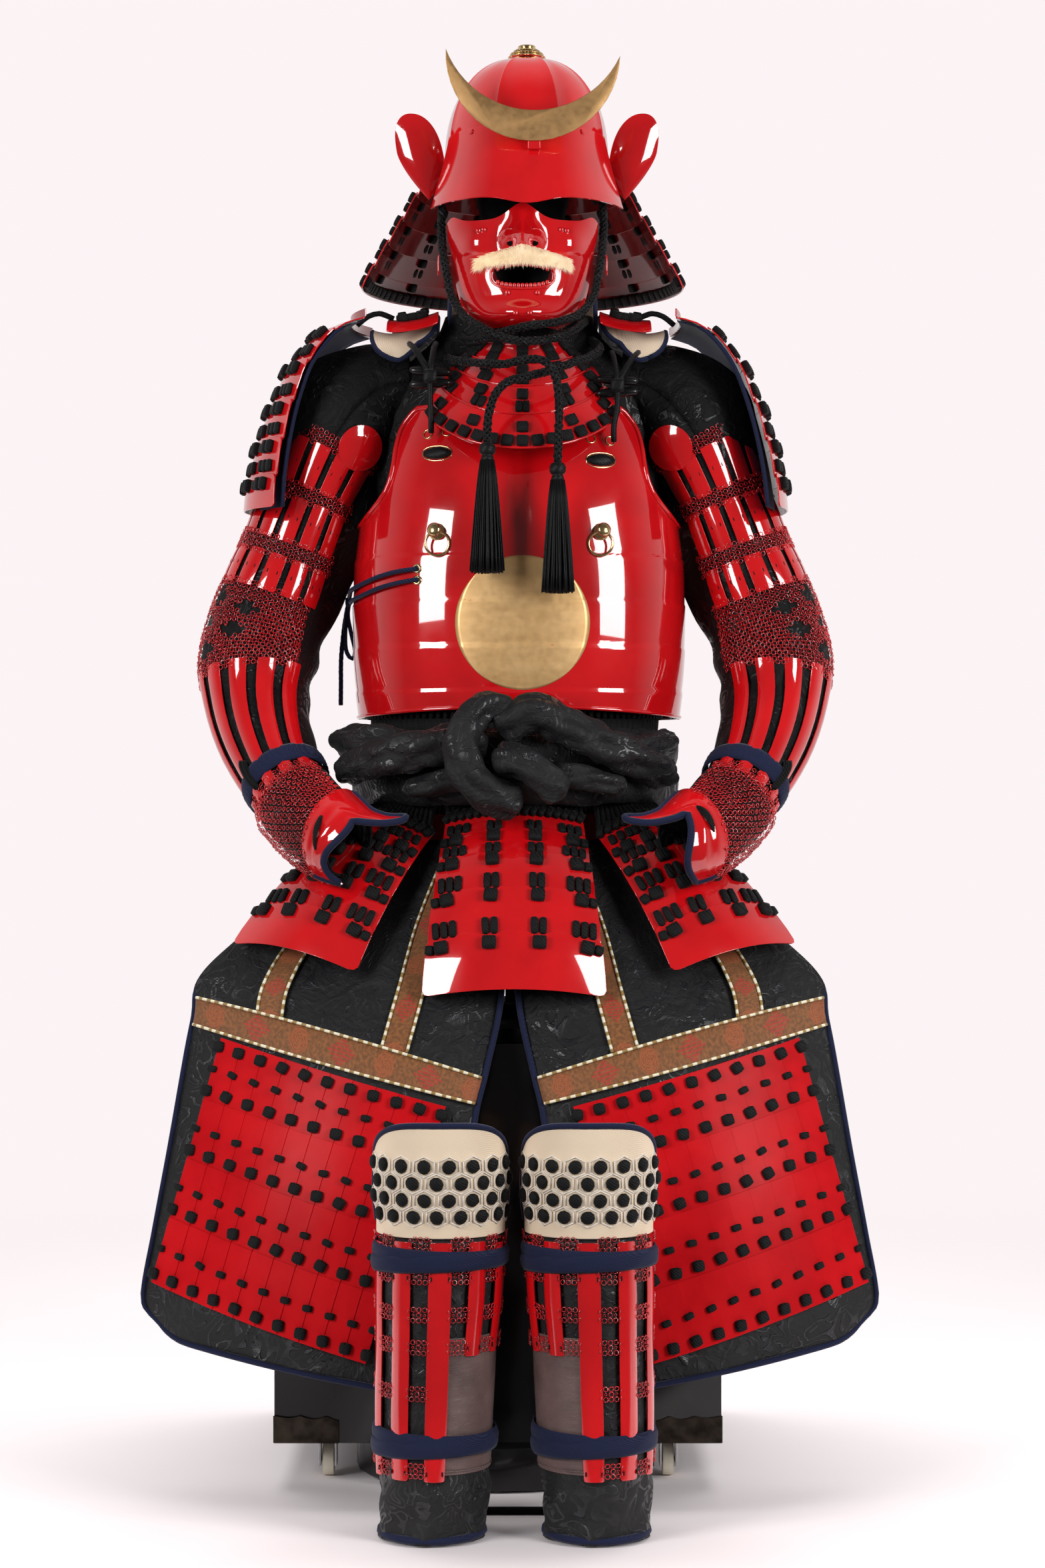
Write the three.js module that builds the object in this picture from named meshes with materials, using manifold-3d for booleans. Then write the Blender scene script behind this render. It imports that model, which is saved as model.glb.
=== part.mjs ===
// Red lacquered samurai armour set out as a seated figure on its wheeled armour box.
// Millimetres, +Z up. The figure faces -Y, and its left-hand side as seen from the front is -X.
// Every plate and every cloth is a thin wall over a smooth base surface. Lames and splints step outwards down the wall.
import * as THREE from "three";
import { mergeVertices } from "three/addons/utils/BufferGeometryUtils.js";
import Module from "manifold-3d";

const wasm = await Module();
wasm.setup();

const { PI, sin, cos, abs, sqrt, pow, exp, max, min } = Math;
const DEGREE = PI / 180;

// Driving dimensions.
const FIGURE_BACK = 152; // the figure's own axis stands this far behind the middle of the whole set
const FIGURE_SIDE = 14; // and this far to the right of it
const PLATE = 2; // lacquered steel
const CLOTH = 2.4; // quilted brocade
const LAP_STEP = 2.3; // each lower lame lies this much further out
const GAP = 0.4; // between pieces that lie on each other
const CORD = 11.5; // the helmet cord's diameter

const HELMET = { x: 5, rimZ: 1488, height: 124, halfWidth: 95.5, front: 112, back: 118, power: 2.3, crownHole: 14 };
const MASK = { chinZ: 1288, topZ: 1408, bridgeRise: 18, cheekRise: 7, mouthZ: 1343, mouthHalfWidth: 33, mouthHalfHeight: 12 };
const WAIST = { top: 848, bottom: 752 };
const BOX = { x: -27, width: 490, front: -232, back: 238, bottom: 48, top: 486, wall: 10, lid: 16 };
const CASTER = { inset: 56, wheelRadius: 18, wheelWidth: 13, trail: 12, cheek: 2.5, axleRadius: 3 };
const GREAVE = { x: [-84, 68], lean: [-9, 8], y: -470, kneeTop: 427, kneeBottom: 312 };
const OFFSET = { cuirass: -4, skirt: -9, arms: -8, thighs: -14 }; // how far each group hangs to the left of the head

const COLOURS = {
  lacquer: { color: 0xc00c10, roughness: 0.12, metalness: 0.0 },
  gold: { color: 0xb08a3c, roughness: 0.35, metalness: 1.0 },
  brocade: { color: 0x0d0d10, roughness: 0.6, metalness: 0.0 },
  cord: { color: 0x08080a, roughness: 0.85, metalness: 0.0 },
  navy: { color: 0x10142c, roughness: 0.85, metalness: 0.0 },
  cream: { color: 0xe6cfae, roughness: 0.9, metalness: 0.0 },
  boxLacquer: { color: 0x0a0a0b, roughness: 0.3, metalness: 0.0 },
  steel: { color: 0xb8b8b8, roughness: 0.3, metalness: 1.0 },
  wheel: { color: 0xe8e2d0, roughness: 0.5, metalness: 0.0 },
};

// ---------------------------------------------------------------- helpers

const point = (x, y, z) => new THREE.Vector3(x, y, z);
const mix = (a, b, t) => a + (b - a) * t;
const range = (count) => Array.from({ length: count }, (_, i) => i);
const bump = (distance, width) => exp(-pow(distance / width, 2));

// The named columns of a table at a place between two of its rows; key is the column that says where each row is.
function between(table, key, at) {
  const rising = table[table.length - 1][key] > table[0][key];
  let i = 0;
  while (i < table.length - 2 && (rising ? at > table[i + 1][key] : at < table[i + 1][key])) i += 1;
  const [a, b] = [table[i], table[i + 1]];
  const t = min(1, max(0, (at - a[key]) / (b[key] - a[key])));
  return Object.fromEntries(Object.keys(a).map((name) => [name, mix(a[name], b[name], t)]));
}

// A table's columns at a share of its rows from the first (0) to the last (1).
function along(table, share) {
  const at = min(1, max(0, share)) * (table.length - 1);
  const i = min(table.length - 2, Math.floor(at));
  return Object.fromEntries(Object.keys(table[0]).map((name) => [name, mix(table[i][name], table[i + 1][name], at - i)]));
}

function signedVolume(points, faces) {
  return faces.reduce((sum, [a, b, c]) => sum + points[a].dot(points[b].clone().cross(points[c])) / 6, 0);
}

// A closed body from points and triangles, turned to face outwards.
function body(points, faces) {
  const turned = signedVolume(points, faces) < 0 ? faces.map(([a, b, c]) => [a, c, b]) : faces;
  const geometry = new THREE.BufferGeometry();
  geometry.setAttribute("position", new THREE.Float32BufferAttribute(points.flatMap((p) => [p.x, p.y, p.z]), 3));
  geometry.setIndex(turned.flat());
  return geometry;
}

// The outward normal of a base surface whose u runs from left to right and v downwards, as seen from outside.
function normalAt(base, u, v) {
  const e = 0.01;
  const across = base(u + e, v).sub(base(u - e, v));
  const down = base(u, min(1, v + e)).sub(base(u, max(0, v - e)));
  return down.cross(across).normalize();
}

const plainRows = (count) => range(count + 1).map((j) => ({ v: j / count, lift: 0 }));

// Rows for a wall of lames, each one lying a step further out than the one above it.
function lappedRows(count, first = 0, last = 1, step = LAP_STEP) {
  const ledge = 0.003;
  return range(count).flatMap((k) => [
    { v: mix(first, last, k / count), lift: k * step },
    { v: mix(first, last, (k + 1) / count) - (k < count - 1 ? ledge : 0), lift: k * step },
  ]);
}

// A closed wall of one thickness over base(u, v). Each row says how far the outer face is lifted off the base surface.
function wall(base, columns, rows, { thickness = PLATE, closed = false, from = 0, to = 1, lift = 0 } = {}) {
  const count = closed ? columns : columns + 1;
  const points = [];
  for (const depth of [0, thickness])
    for (const row of rows)
      for (let i = 0; i < count; i += 1) {
        const u = mix(from, to, i / columns);
        const normal = normalAt(base, u, row.v);
        points.push(base(u, row.v).addScaledVector(normal, row.lift + lift - depth));
      }
  const half = rows.length * count;
  const id = (i, j) => j * count + (i % count);
  const faces = [];
  const quad = (a, b, c, d) => faces.push([a, b, c], [a, c, d]);
  for (let j = 0; j < rows.length - 1; j += 1)
    for (let i = 0; i < columns; i += 1) {
      const [a, b, c, d] = [id(i, j), id(i, j + 1), id(i + 1, j + 1), id(i + 1, j)];
      quad(a, b, c, d);
      quad(half + a, half + d, half + c, half + b);
    }
  for (let i = 0; i < columns; i += 1) {
    const last = rows.length - 1;
    quad(id(i, 0), id(i + 1, 0), half + id(i + 1, 0), half + id(i, 0));
    quad(id(i + 1, last), id(i, last), half + id(i, last), half + id(i + 1, last));
  }
  if (!closed)
    for (let j = 0; j < rows.length - 1; j += 1) {
      quad(id(0, j + 1), id(0, j), half + id(0, j), half + id(0, j + 1));
      quad(id(columns, j), id(columns, j + 1), half + id(columns, j + 1), half + id(columns, j));
    }
  return body(points, faces);
}

// A closed skin over rings of equally many points, capped at both ends, or joined end to end as a hoop.
function skin(rings, hoop = false) {
  const sides = rings[0].length;
  const points = rings.flat();
  const faces = [];
  const id = (ring, i) => (ring % rings.length) * sides + (i % sides);
  for (let r = 0; r < rings.length - (hoop ? 0 : 1); r += 1)
    for (let i = 0; i < sides; i += 1) {
      faces.push([id(r, i), id(r, i + 1), id(r + 1, i + 1)], [id(r, i), id(r + 1, i + 1), id(r + 1, i)]);
    }
  if (!hoop)
    for (const [ring, flip] of [[0, true], [rings.length - 1, false]]) {
      const centre = rings[ring].reduce((sum, p) => sum.add(p), point(0, 0, 0)).divideScalar(sides);
      points.push(centre);
      for (let i = 0; i < sides; i += 1) {
        const [a, b] = flip ? [id(ring, i + 1), id(ring, i)] : [id(ring, i), id(ring, i + 1)];
        faces.push([points.length - 1, a, b]);
      }
    }
  return body(points, faces);
}

// A ring of points round a centre, in the plane of two directions.
function ringOf(centre, right, up, sides) {
  return range(sides).map((i) => {
    const a = (i / sides) * 2 * PI;
    return centre.clone().addScaledVector(right, cos(a)).addScaledVector(up, sin(a));
  });
}

// A tube of a round section along a smooth curve through the given points.
function tube(points, radius, steps, sides = 8) {
  const section = new THREE.Shape(range(sides).map((i) => {
    const a = ((i + 0.5) / sides) * 2 * PI;
    return new THREE.Vector2(radius * cos(a), radius * sin(a));
  }));
  const extrudePath = new THREE.CatmullRomCurve3(points, false, "centripetal");
  return new THREE.ExtrudeGeometry(section, { steps, extrudePath, bevelEnabled: false });
}

function cuboid(low, high) {
  const geometry = new THREE.BoxGeometry(high.x - low.x, high.y - low.y, high.z - low.z);
  return geometry.translate((low.x + high.x) / 2, (low.y + high.y) / 2, (low.z + high.z) / 2);
}

function upright(radius, low, high, sides = 16) {
  return new THREE.CylinderGeometry(radius, radius, high - low, sides).rotateX(PI / 2).translate(0, 0, (low + high) / 2);
}

// A turned piece about the Z axis from [radius, z] pairs that start and end on the axis.
function turned(profile, sides = 20) {
  return new THREE.LatheGeometry(profile.map(([r, z]) => new THREE.Vector2(r, z)), sides).rotateX(PI / 2);
}

function solidOf(geometry) {
  const bare = geometry.clone();
  for (const name of ["normal", "uv"]) bare.deleteAttribute(name);
  const merged = mergeVertices(bare, 1e-3);
  return new wasm.Manifold(new wasm.Mesh({
    numProp: 3,
    vertProperties: new Float32Array(merged.attributes.position.array),
    triVerts: new Uint32Array(merged.index.array),
  }));
}

function geometryOf(solid) {
  const mesh = solid.getMesh();
  const geometry = new THREE.BufferGeometry();
  geometry.setAttribute("position", new THREE.Float32BufferAttribute(mesh.vertProperties, 3));
  geometry.setIndex([...mesh.triVerts]);
  return geometry;
}

const joined = (...parts) => geometryOf(parts.map(solidOf).reduce((a, b) => a.add(b)));
const cut = (from, ...tools) => geometryOf(tools.map(solidOf).reduce((a, b) => a.subtract(b), solidOf(from)));

const figure = new THREE.Group();
figure.position.set(FIGURE_SIDE, FIGURE_BACK, 0);

function add(name, geometry, colour) {
  const mesh = new THREE.Mesh(geometry, new THREE.MeshStandardMaterial(COLOURS[colour]));
  mesh.name = name;
  figure.add(mesh);
}

const SIDES = [
  { word: "left", s: -1 },
  { word: "right", s: 1 },
];

// Mirrors a left-hand base surface, keeping u from left to right as seen from outside.
const sided = (base, s) => (u, v) => {
  const p = base(s < 0 ? u : 1 - u, v);
  p.x *= -s;
  return p;
};

// ---------------------------------------------------------------- helmet

// Dome from the crown hole down to the rim, all the way round.
function bowlSurface(u, v) {
  const a = u * 2 * PI;
  const top = Math.acos(pow(HELMET.crownHole / HELMET.front, HELMET.power / 2));
  const rise = mix(top, 0, v);
  const r = pow(cos(rise), 2 / HELMET.power);
  const h = pow(sin(rise), 2 / HELMET.power);
  const depth = mix(HELMET.back, HELMET.front, (1 + cos(a)) / 2);
  return point(HELMET.x + HELMET.halfWidth * r * sin(a), -depth * r * cos(a), HELMET.rimZ + HELMET.height * h);
}

// Peak over the eyes: it leaves the bowl and flares to two low corners, with a shallow point between the eyes.
function browSurface(u, v) {
  const side = mix(-1, 1, u);
  const a = side * mix(66, 70, v) * DEGREE;
  const lowEdge = 1430 - 9 * bump(side, 0.22);
  return point(
    HELMET.x + mix(98, 118, pow(v, 1.2)) * sin(a),
    -mix(121, 152, v) * cos(a),
    mix(1517 - 4 * side * side, lowEdge, v),
  );
}

// Ear-shaped turn-back: a dished leaf, broad at the top and pointed below.
function earSurface(u, v) {
  const side = mix(-1, 1, u);
  const width = 3 + 29 * pow(sin(PI * pow(v, 0.62)), 0.6) * (1 - 0.25 * v);
  const dish = 12 * (1 - side * side) * sin(PI * v);
  return point(mix(-127, -113, v) + side * width, -34 + dish + 8 * v, mix(1541, 1446, v) + 6 * side * (0.5 - v));
}

// Flared neck guard of five lames round the sides and back.
function neckGuardSurface(u, v) {
  const a = mix(-97, 97, u) * DEGREE;
  return point(-mix(106, 179, v) * sin(a), mix(124, 196, v) * cos(a), mix(1484, 1341, v));
}

function crescent() {
  const halfWidth = 98;
  const [tipZ, innerZ, outerZ] = [1591, 1526, 1491.5];
  const arc = (lowZ) => {
    const depth = tipZ - lowZ;
    const radius = (halfWidth * halfWidth + depth * depth) / (2 * depth);
    return { radius, centre: lowZ + radius };
  };
  const outer = arc(outerZ);
  const inner = arc(innerZ);
  const from = ({ centre }) => Math.atan2(tipZ - centre, -halfWidth);
  const to = ({ centre }) => Math.atan2(tipZ - centre, halfWidth);
  const shape = new THREE.Shape();
  shape.absarc(0, outer.centre, outer.radius, from(outer), to(outer) + 2 * PI, false);
  shape.absarc(0, inner.centre, inner.radius, to(inner), from(inner), true);
  const plate = new THREE.ExtrudeGeometry(shape, { depth: 2.5, curveSegments: 12, bevelEnabled: false });
  return plate.translate(0, -1550, 0).rotateZ(-2.4 * DEGREE).translate(0, 1550, 0).rotateX(PI / 2).translate(10, -140, 0);
}

function buildHelmet() {
  add("helmet_bowl", wall(bowlSurface, 18, plainRows(5), { closed: true }), "lacquer");
  const top = HELMET.rimZ + HELMET.height + 0.8;
  const profile = [[0, 0], [20, 0], [20, 4], [15, 6], [16, 9], [10, 10], [9, 14], [0, 15]];
  const finial = turned(profile.map(([r, z]) => [r, top + z]), 14);
  add("helmet_finial", finial.translate(HELMET.x, 0, 0), "gold");
  const socket = cuboid(point(HELMET.x - 5, -139.6, 1483), point(HELMET.x + 11, -124, 1497));
  add("brow_plate", joined(wall(browSurface, 14, plainRows(3)), socket), "lacquer");
  add("crescent", crescent(), "gold");
  for (const { word, s } of SIDES)
    add("ear_" + word, wall(sided(earSurface, s), 6, plainRows(7)).translate(HELMET.x, 0, 0), "lacquer");
  add("neck_guard", wall(neckGuardSurface, 12, lappedRows(5)), "lacquer");
}

// ---------------------------------------------------------------- mask and throat guard

const MASK_HALF_WIDTHS = [
  { z: 1430, half: 86 },
  { z: 1400, half: 86 },
  { z: 1365, half: 80 },
  { z: 1320, half: 71 },
  { z: 1298, half: 57 },
  { z: 1288, half: 42 },
];

// How far forward the mask's face stands at a place on it.
function maskForward(x, z) {
  const { half } = between(MASK_HALF_WIDTHS, "z", z);
  const round = sqrt(max(0, 1 - pow(x / (half * 1.06), 2)));
  const chin = 14 * bump(z - 1300, 16) - 22 * bump(z - 1282, 10);
  const nose = 26 * bump(x, 15) * bump(z - 1382, 17) + 12 * bump(x, 12) * bump(z - 1408, 22);
  const cheek = 6 * bump(abs(x) - 55, 20) * bump(z - 1385, 18);
  return 40 + 74 * pow(round, 0.8) + (chin + nose) * bump(x, 60) + cheek;
}

function maskSurface(u, v) {
  const side = mix(-1, 1, u);
  const nominal = 86 * side;
  const top = MASK.topZ + MASK.bridgeRise * bump(nominal, 15) + MASK.cheekRise * bump(abs(nominal) - 70, 14);
  const z = mix(top, MASK.chinZ, v);
  const x = between(MASK_HALF_WIDTHS, "z", z).half * sin(side * 80 * DEGREE) / sin(80 * DEGREE);
  return point(x, -maskForward(x, z), z);
}

const THROAT = [
  { zc: 1268, w: 56, d: 104, reach: 56, rise: 0.2 },
  { zc: 1244, w: 70, d: 116, reach: 66, rise: 0.35 },
  { zc: 1216, w: 84, d: 132, reach: 65, rise: 0.5 },
  { zc: 1182, w: 102, d: 148, reach: 62, rise: 0.65 },
  { zc: 1142, w: 124, d: 162, reach: 59, rise: 0.72 },
];

// Bib of four lames under the chin; the ends ride up on the shoulders.
function throatSurface(u, v) {
  const { zc, w, d, reach, rise } = along(THROAT, v);
  const a = mix(-reach, reach, u) * DEGREE;
  const forward = d * pow(cos(a), 0.7);
  return point(w * sin(a), -forward, zc + rise * (d - forward));
}

function buildMask() {
  const mouth = new THREE.CylinderGeometry(1, 1, 60, 14).scale(MASK.mouthHalfWidth, 1, MASK.mouthHalfHeight);
  mouth.translate(0, -100, MASK.mouthZ);
  add("mask", cut(wall(maskSurface, 14, plainRows(8), { thickness: 1.8 }), mouth), "lacquer");
  const rings = range(9).map((i) => {
    const x = mix(-52, 52, i / 8);
    const z = 1365 - 11 * pow(x / 52, 2);
    const reach = 3 + 6 * sqrt(max(0, 1 - pow(x / 54, 2)));
    const centre = point(x, -maskForward(x, z + reach) - reach - 1, z);
    return ringOf(centre, point(0, reach * 0.8, 0), point(0, 0, reach), 8);
  });
  add("moustache", skin(rings), "cream");
  add("throat_guard", wall(throatSurface, 12, lappedRows(4)), "lacquer");
}

// ---------------------------------------------------------------- helmet cord

// The cord from the left temple passes under the chin and behind the neck, and hangs on the right; the other mirrors it.
const CORD_ROUTE = [
  [-92, -52, 1440], [-93, -60, 1410], [-91, -76, 1380], [-86, -86, 1350], [-80, -96, 1322], [-66, -114, 1299],
  [-52, -134, 1287], [-34, -147, 1275], [-8, -152, 1266], [26, -142, 1268], [54, -112, 1280], [68, -70, 1296],
  [70, -20, 1304], [52, 24, 1306], [10, 48, 1302], [-34, 40, 1290], [-60, 8, 1274], [-80, -36, 1262],
  [-84, -84, 1254], [-70, -126, 1246], [-46, -158, 1240], [-22, -174, 1237], [0, -184, 1240], [20, -191, 1240],
  [34, -193, 1228], [40, -190, 1200], [40, -187, 1160], [39, -184, 1128],
];
const CORD_ROUTE_MATE = [
  [92, -52, 1440], [93, -60, 1410], [91, -76, 1380], [86, -86, 1350], [80, -98, 1322], [64, -124, 1300],
  [40, -146, 1288], [8, -151, 1283], [-18, -136, 1279], [-38, -112, 1275], [-56, -86, 1275], [-68, -60, 1280],
  [-72, -24, 1292], [-58, 34, 1305], [-12, 68, 1308], [42, 66, 1300], [76, 20, 1290], [80, -36, 1281],
  [88, -84, 1266], [78, -126, 1252], [56, -156, 1241], [30, -172, 1230], [6, -178, 1223], [-16, -187, 1216],
  [-30, -191, 1202], [-37, -189, 1182], [-39, -186, 1165], [-39, -184, 1150],
];
const TASSEL = { knobRadius: 9.5, knobHeight: 20, topRadius: 10, footRadius: 21, length: 150 };

function tassel(x, y, top) {
  const { knobRadius, knobHeight, topRadius, footRadius, length } = TASSEL;
  const profile = [
    [0, top], [knobRadius * 0.7, top - 1], [knobRadius, top - knobHeight / 2], [knobRadius * 0.8, top - knobHeight],
    [topRadius, top - knobHeight - 6], [mix(topRadius, footRadius, 0.6), top - knobHeight - 60],
    [footRadius, top - length], [0, top - length],
  ];
  return turned(profile.reverse(), 12).translate(x, y, 0);
}

function buildCords() {
  const points = (route) => route.map(([x, y, z]) => point(x, y, z));
  add("chin_cord_left", tube(points(CORD_ROUTE), CORD / 2, 40, 6), "cord");
  add("chin_cord_right", tube(points(CORD_ROUTE_MATE), CORD / 2, 40, 6), "cord");
  for (const [word, route] of [["right", CORD_ROUTE], ["left", CORD_ROUTE_MATE]]) {
    const [x, y, z] = route[route.length - 1];
    add("tassel_" + word, tassel(x, y, z - GAP), "cord");
  }
}

// ---------------------------------------------------------------- cuirass

// Half-width, forward and backward reach of the body armour at each height, and how wide each plate still is there.
const CUIRASS = [
  { z: 846, w: 182, f: 141, b: 126, edge: 182 },
  { z: 900, w: 188, f: 149, b: 131, edge: 188 },
  { z: 970, w: 191, f: 153, b: 136, edge: 191 },
  { z: 1028, w: 190, f: 153, b: 139, edge: 190 },
  { z: 1062, w: 186, f: 149, b: 140, edge: 186 },
  { z: 1080, w: 184, f: 146, b: 140, edge: 169 },
  { z: 1103, w: 181, f: 141, b: 140, edge: 151 },
  { z: 1128, w: 175, f: 135, b: 138, edge: 143 },
  { z: 1156, w: 166, f: 127, b: 136, edge: 139 },
  { z: 1180, w: 156, f: 119, b: 133, edge: 131 },
  { z: 1198, w: 148, f: 112, b: 130, edge: 116 },
  { z: 1232, w: 136, f: 100, b: 120, edge: 92 },
];
const CUIRASS_POWER = 2.4;

function cuirassDepth(x, z, reach) {
  const row = between(CUIRASS, "z", z);
  return row[reach] * pow(max(1e-4, 1 - pow(min(1, abs(x) / row.w), CUIRASS_POWER)), 1 / CUIRASS_POWER);
}

// The plates' top edge: two shoulder points with the neck scooped out between them.
const breastTop = (x) => (abs(x) > 96 ? 1198 : 1128 + 70 * pow(abs(x) / 96, 2.6));
const backTop = (x) => 1232 - 26 * bump(x, 60);

function breastSurface(u, v) {
  const side = sin(mix(-1, 1, u) * 89.6 * DEGREE);
  const z = mix(breastTop(side * 120), CUIRASS[0].z, v);
  const x = side * between(CUIRASS, "z", z).edge;
  return point(x, -cuirassDepth(x, z, "f"), z);
}

function backSurface(u, v) {
  const side = sin(mix(1, -1, u) * 89.6 * DEGREE);
  const z = mix(backTop(side * 92), CUIRASS[0].z, v);
  const x = side * between(CUIRASS, "z", z).edge;
  return point(x, cuirassDepth(x, z, "b"), z);
}

const RING = { x: 91.5, z: 1053, radius: 13.5, wire: 1.5, eye: 3.7, standOff: 8 };

// Headed post for a chest ring, with the eye that the ring's wire passes through.
function ringPost(x, y) {
  const post = turned([[0, -15], [3.4, -14.5], [6.4, -12], [6.4, -1.6], [8, -1.6], [8, 2.2], [0, 2.2]], 10).rotateX(-PI / 2);
  const eye = new THREE.CylinderGeometry(RING.eye, RING.eye, 30, 10).rotateZ(PI / 2).translate(0, -RING.standOff, 0);
  return cut(post.rotateX(PI), eye).translate(x, y, RING.z);
}

// Quilted pad over the shoulder that the cuirass straps rest on: high beside the neck, hollow in the middle.
const PAD = [
  { y: 96, z: 1258, half: 34 },
  { y: 56, z: 1282, half: 37 },
  { y: 14, z: 1294, half: 39 },
  { y: -30, z: 1284, half: 39 },
  { y: -62, z: 1256, half: 36 },
];
const PAD_MIDDLE = 132;

// u runs across the pad and v from its back edge to its front edge, over the top.
const padSurface = (s) => (u, v) => {
  const { y, z, half } = along(PAD, v);
  const inward = s * mix(1, -1, u);
  return point(s * PAD_MIDDLE + mix(half, -half, u), y, z + 10 * inward * inward - 9 * inward);
};

// Standing collar round the back and sides of the neck.
function collarSurface(u, v) {
  const a = mix(-104, 104, u) * DEGREE;
  const top = 1334 + 8 * cos(a);
  return point(-mix(87, 88, v) * sin(a), mix(104, 102, v) * cos(a) - 2, mix(top, 1298, v));
}

function buildCuirass() {
  const y = -cuirassDepth(RING.x, RING.z, "f");
  const plate = wall(breastSurface, 14, plainRows(8));
  const shift = (geometry) => geometry.translate(OFFSET.cuirass, 0, 0);
  add("breast_plate", shift(joined(plate, ringPost(-RING.x, y), ringPost(RING.x, y))), "lacquer");
  add("back_plate", shift(wall(backSurface, 12, plainRows(6))), "lacquer");
  for (const { word, s } of SIDES) {
    const hoop = new THREE.TorusGeometry(RING.radius, RING.wire, 6, 16).rotateX(PI / 2);
    add("chest_ring_" + word, shift(hoop.translate(s * RING.x, y - RING.standOff, RING.z - RING.radius)), "gold");
    add("shoulder_pad_" + word, shift(wall(padSurface(s), 4, plainRows(6), { thickness: 4 })), "navy");
  }
  add("collar", wall(collarSurface, 12, plainRows(2), { thickness: 4 }), "cream");
}

// Lacing that hangs the skirt from the cuirass, a ring behind the sash.
function lacingSurface(u, v) {
  const a = u * 2 * PI;
  return point(mix(165, 160, v) * sin(a), -mix(126, 124, v) * cos(a) - 4, mix(WAIST.top - 6, WAIST.bottom, v));
}

// Navy cord that ties the right-hand side of the cuirass: two strands from the eyelets, then a hanging end.
const SIDE_CORD_ROUTE = [
  [-118, -139, 1012], [-142, -129, 1009], [-164, -109, 1004], [-182, -80, 998], [-196, -48, 993], [-200, -14, 990],
  [-202, 10, 984], [-205, 22, 974], [-208, 26, 958], [-210, 22, 940], [-212, 18, 915], [-212, 14, 885], [-212, 10, 862],
];

function buildSideCord() {
  add("side_cord", tube(SIDE_CORD_ROUTE.map(([x, y, z]) => point(x, y, z)), 2.6, 22), "navy");
}

// ---------------------------------------------------------------- sash

const SASH = { turns: [816, 774], w: 181, f: 164, b: 152, flat: 9.5, full: 26, height: 24.5 };

// One turn of the rolled sash about the waist: flat at the sides and back, and full in front.
function sashTurn(z) {
  const steps = 18;
  return skin(range(steps).map((i) => {
    const a = (i / steps) * 2 * PI;
    const fullness = pow(max(0, cos(a)), 1.5);
    const depth = mix(SASH.b, SASH.f, (1 + cos(a)) / 2);
    const outward = point(sin(a), -cos(a), 0).multiplyScalar(mix(SASH.flat, SASH.full, fullness));
    return ringOf(point(SASH.w * sin(a), -depth * cos(a), z), outward, point(0, 0, SASH.height), 8);
  }), true);
}

// The knot's rolls, each a thick bent tube: crossing lengths in front of the turns, and the tucked ends.
const ROLLS = [
  { radius: 25, route: [[-42, -194, 846], [-26, -204, 834], [-14, -208, 806], [6, -208, 776], [30, -202, 756]] },
  { radius: 25, route: [[-16, -202, 838], [20, -208, 842], [52, -202, 832], [88, -192, 816], [118, -176, 800]] },
  { radius: 24, route: [[14, -214, 800], [34, -216, 786], [48, -212, 770], [58, -204, 754]] },
  { radius: 20, route: [[-140, -146, 826], [-168, -122, 836], [-192, -92, 842]] },
  { radius: 20, route: [[140, -148, 822], [164, -128, 832], [184, -98, 838]] },
];

function buildSash() {
  const rolls = ROLLS.map(({ radius, route }) => tube(route.map(([x, y, z]) => point(x, y, z)), radius, 4));
  const lacing = wall(lacingSurface, 16, plainRows(1), { closed: true, thickness: 3 });
  add("waist_lacing", lacing.translate(OFFSET.skirt, 0, 0), "cord");
  add("sash", joined(...SASH.turns.map(sashTurn), ...rolls).translate(OFFSET.skirt, 0, 0), "brocade");
}

// ---------------------------------------------------------------- skirt of tassets

// Each tasset hangs from a top point to a foot point; along is the direction of its lames from left to right.
const TASSETS = [
  {
    name: "front", top: [0, -150, 745], foot: [0, -268, 546], way: [1, 0, 0],
    halfTop: 76, halfFoot: 98, curve: 20, belly: 20,
  },
  {
    name: "front_left", top: [-137, -124, 738], foot: [-247, -212, 586], way: [0.86, -0.48, -0.16],
    halfTop: 50, halfFoot: 79, curve: 20, belly: 12,
  },
  {
    name: "side_left", top: [-186, 42, 744], foot: [-216, 46, 540], way: [0, -1, 0],
    halfTop: 62, halfFoot: 80, curve: 14, belly: 4,
  },
  {
    name: "back_left", top: [-92, 142, 746], foot: [-104, 176, 540], way: [-0.93, -0.36, 0],
    halfTop: 62, halfFoot: 76, curve: 10, belly: 4,
  },
];

const tassetSurface = ({ top, foot, way, halfTop, halfFoot, curve, belly }) => {
  const [T, F, W] = [point(...top), point(...foot), point(...way).normalize()];
  const out = F.clone().sub(T).cross(W).normalize();
  return (u, v) => {
    const side = mix(-1, 1, u);
    const centre = T.clone().lerp(F, v).addScaledVector(out, belly * 4 * v * (1 - v));
    const across = side * mix(halfTop, halfFoot, v);
    return centre.addScaledVector(W, across).addScaledVector(out, -curve * side * side);
  };
};

function buildTassets() {
  for (const tasset of TASSETS) {
    const base = tassetSurface(tasset);
    const lames = (surface) => wall(surface, 5, lappedRows(5)).translate(OFFSET.skirt, 0, 0);
    add("tasset_" + tasset.name, lames(base), "lacquer");
    if (tasset.name !== "front") add("tasset_" + tasset.name.replace("left", "right"), lames(sided(base, 1)), "lacquer");
  }
}

// ---------------------------------------------------------------- shoulder guards

const SODE_LINE = [
  { x: 190, z: 1303 },
  { x: 226, z: 1290 },
  { x: 258, z: 1254 },
  { x: 278, z: 1208 },
  { x: 291, z: 1164 },
  { x: 300, z: 1122 },
  { x: 305, z: 1084 },
];
const SODE_WRAP = { left: 40, right: 16 }; // how far the front edge curls in round the arm

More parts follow.
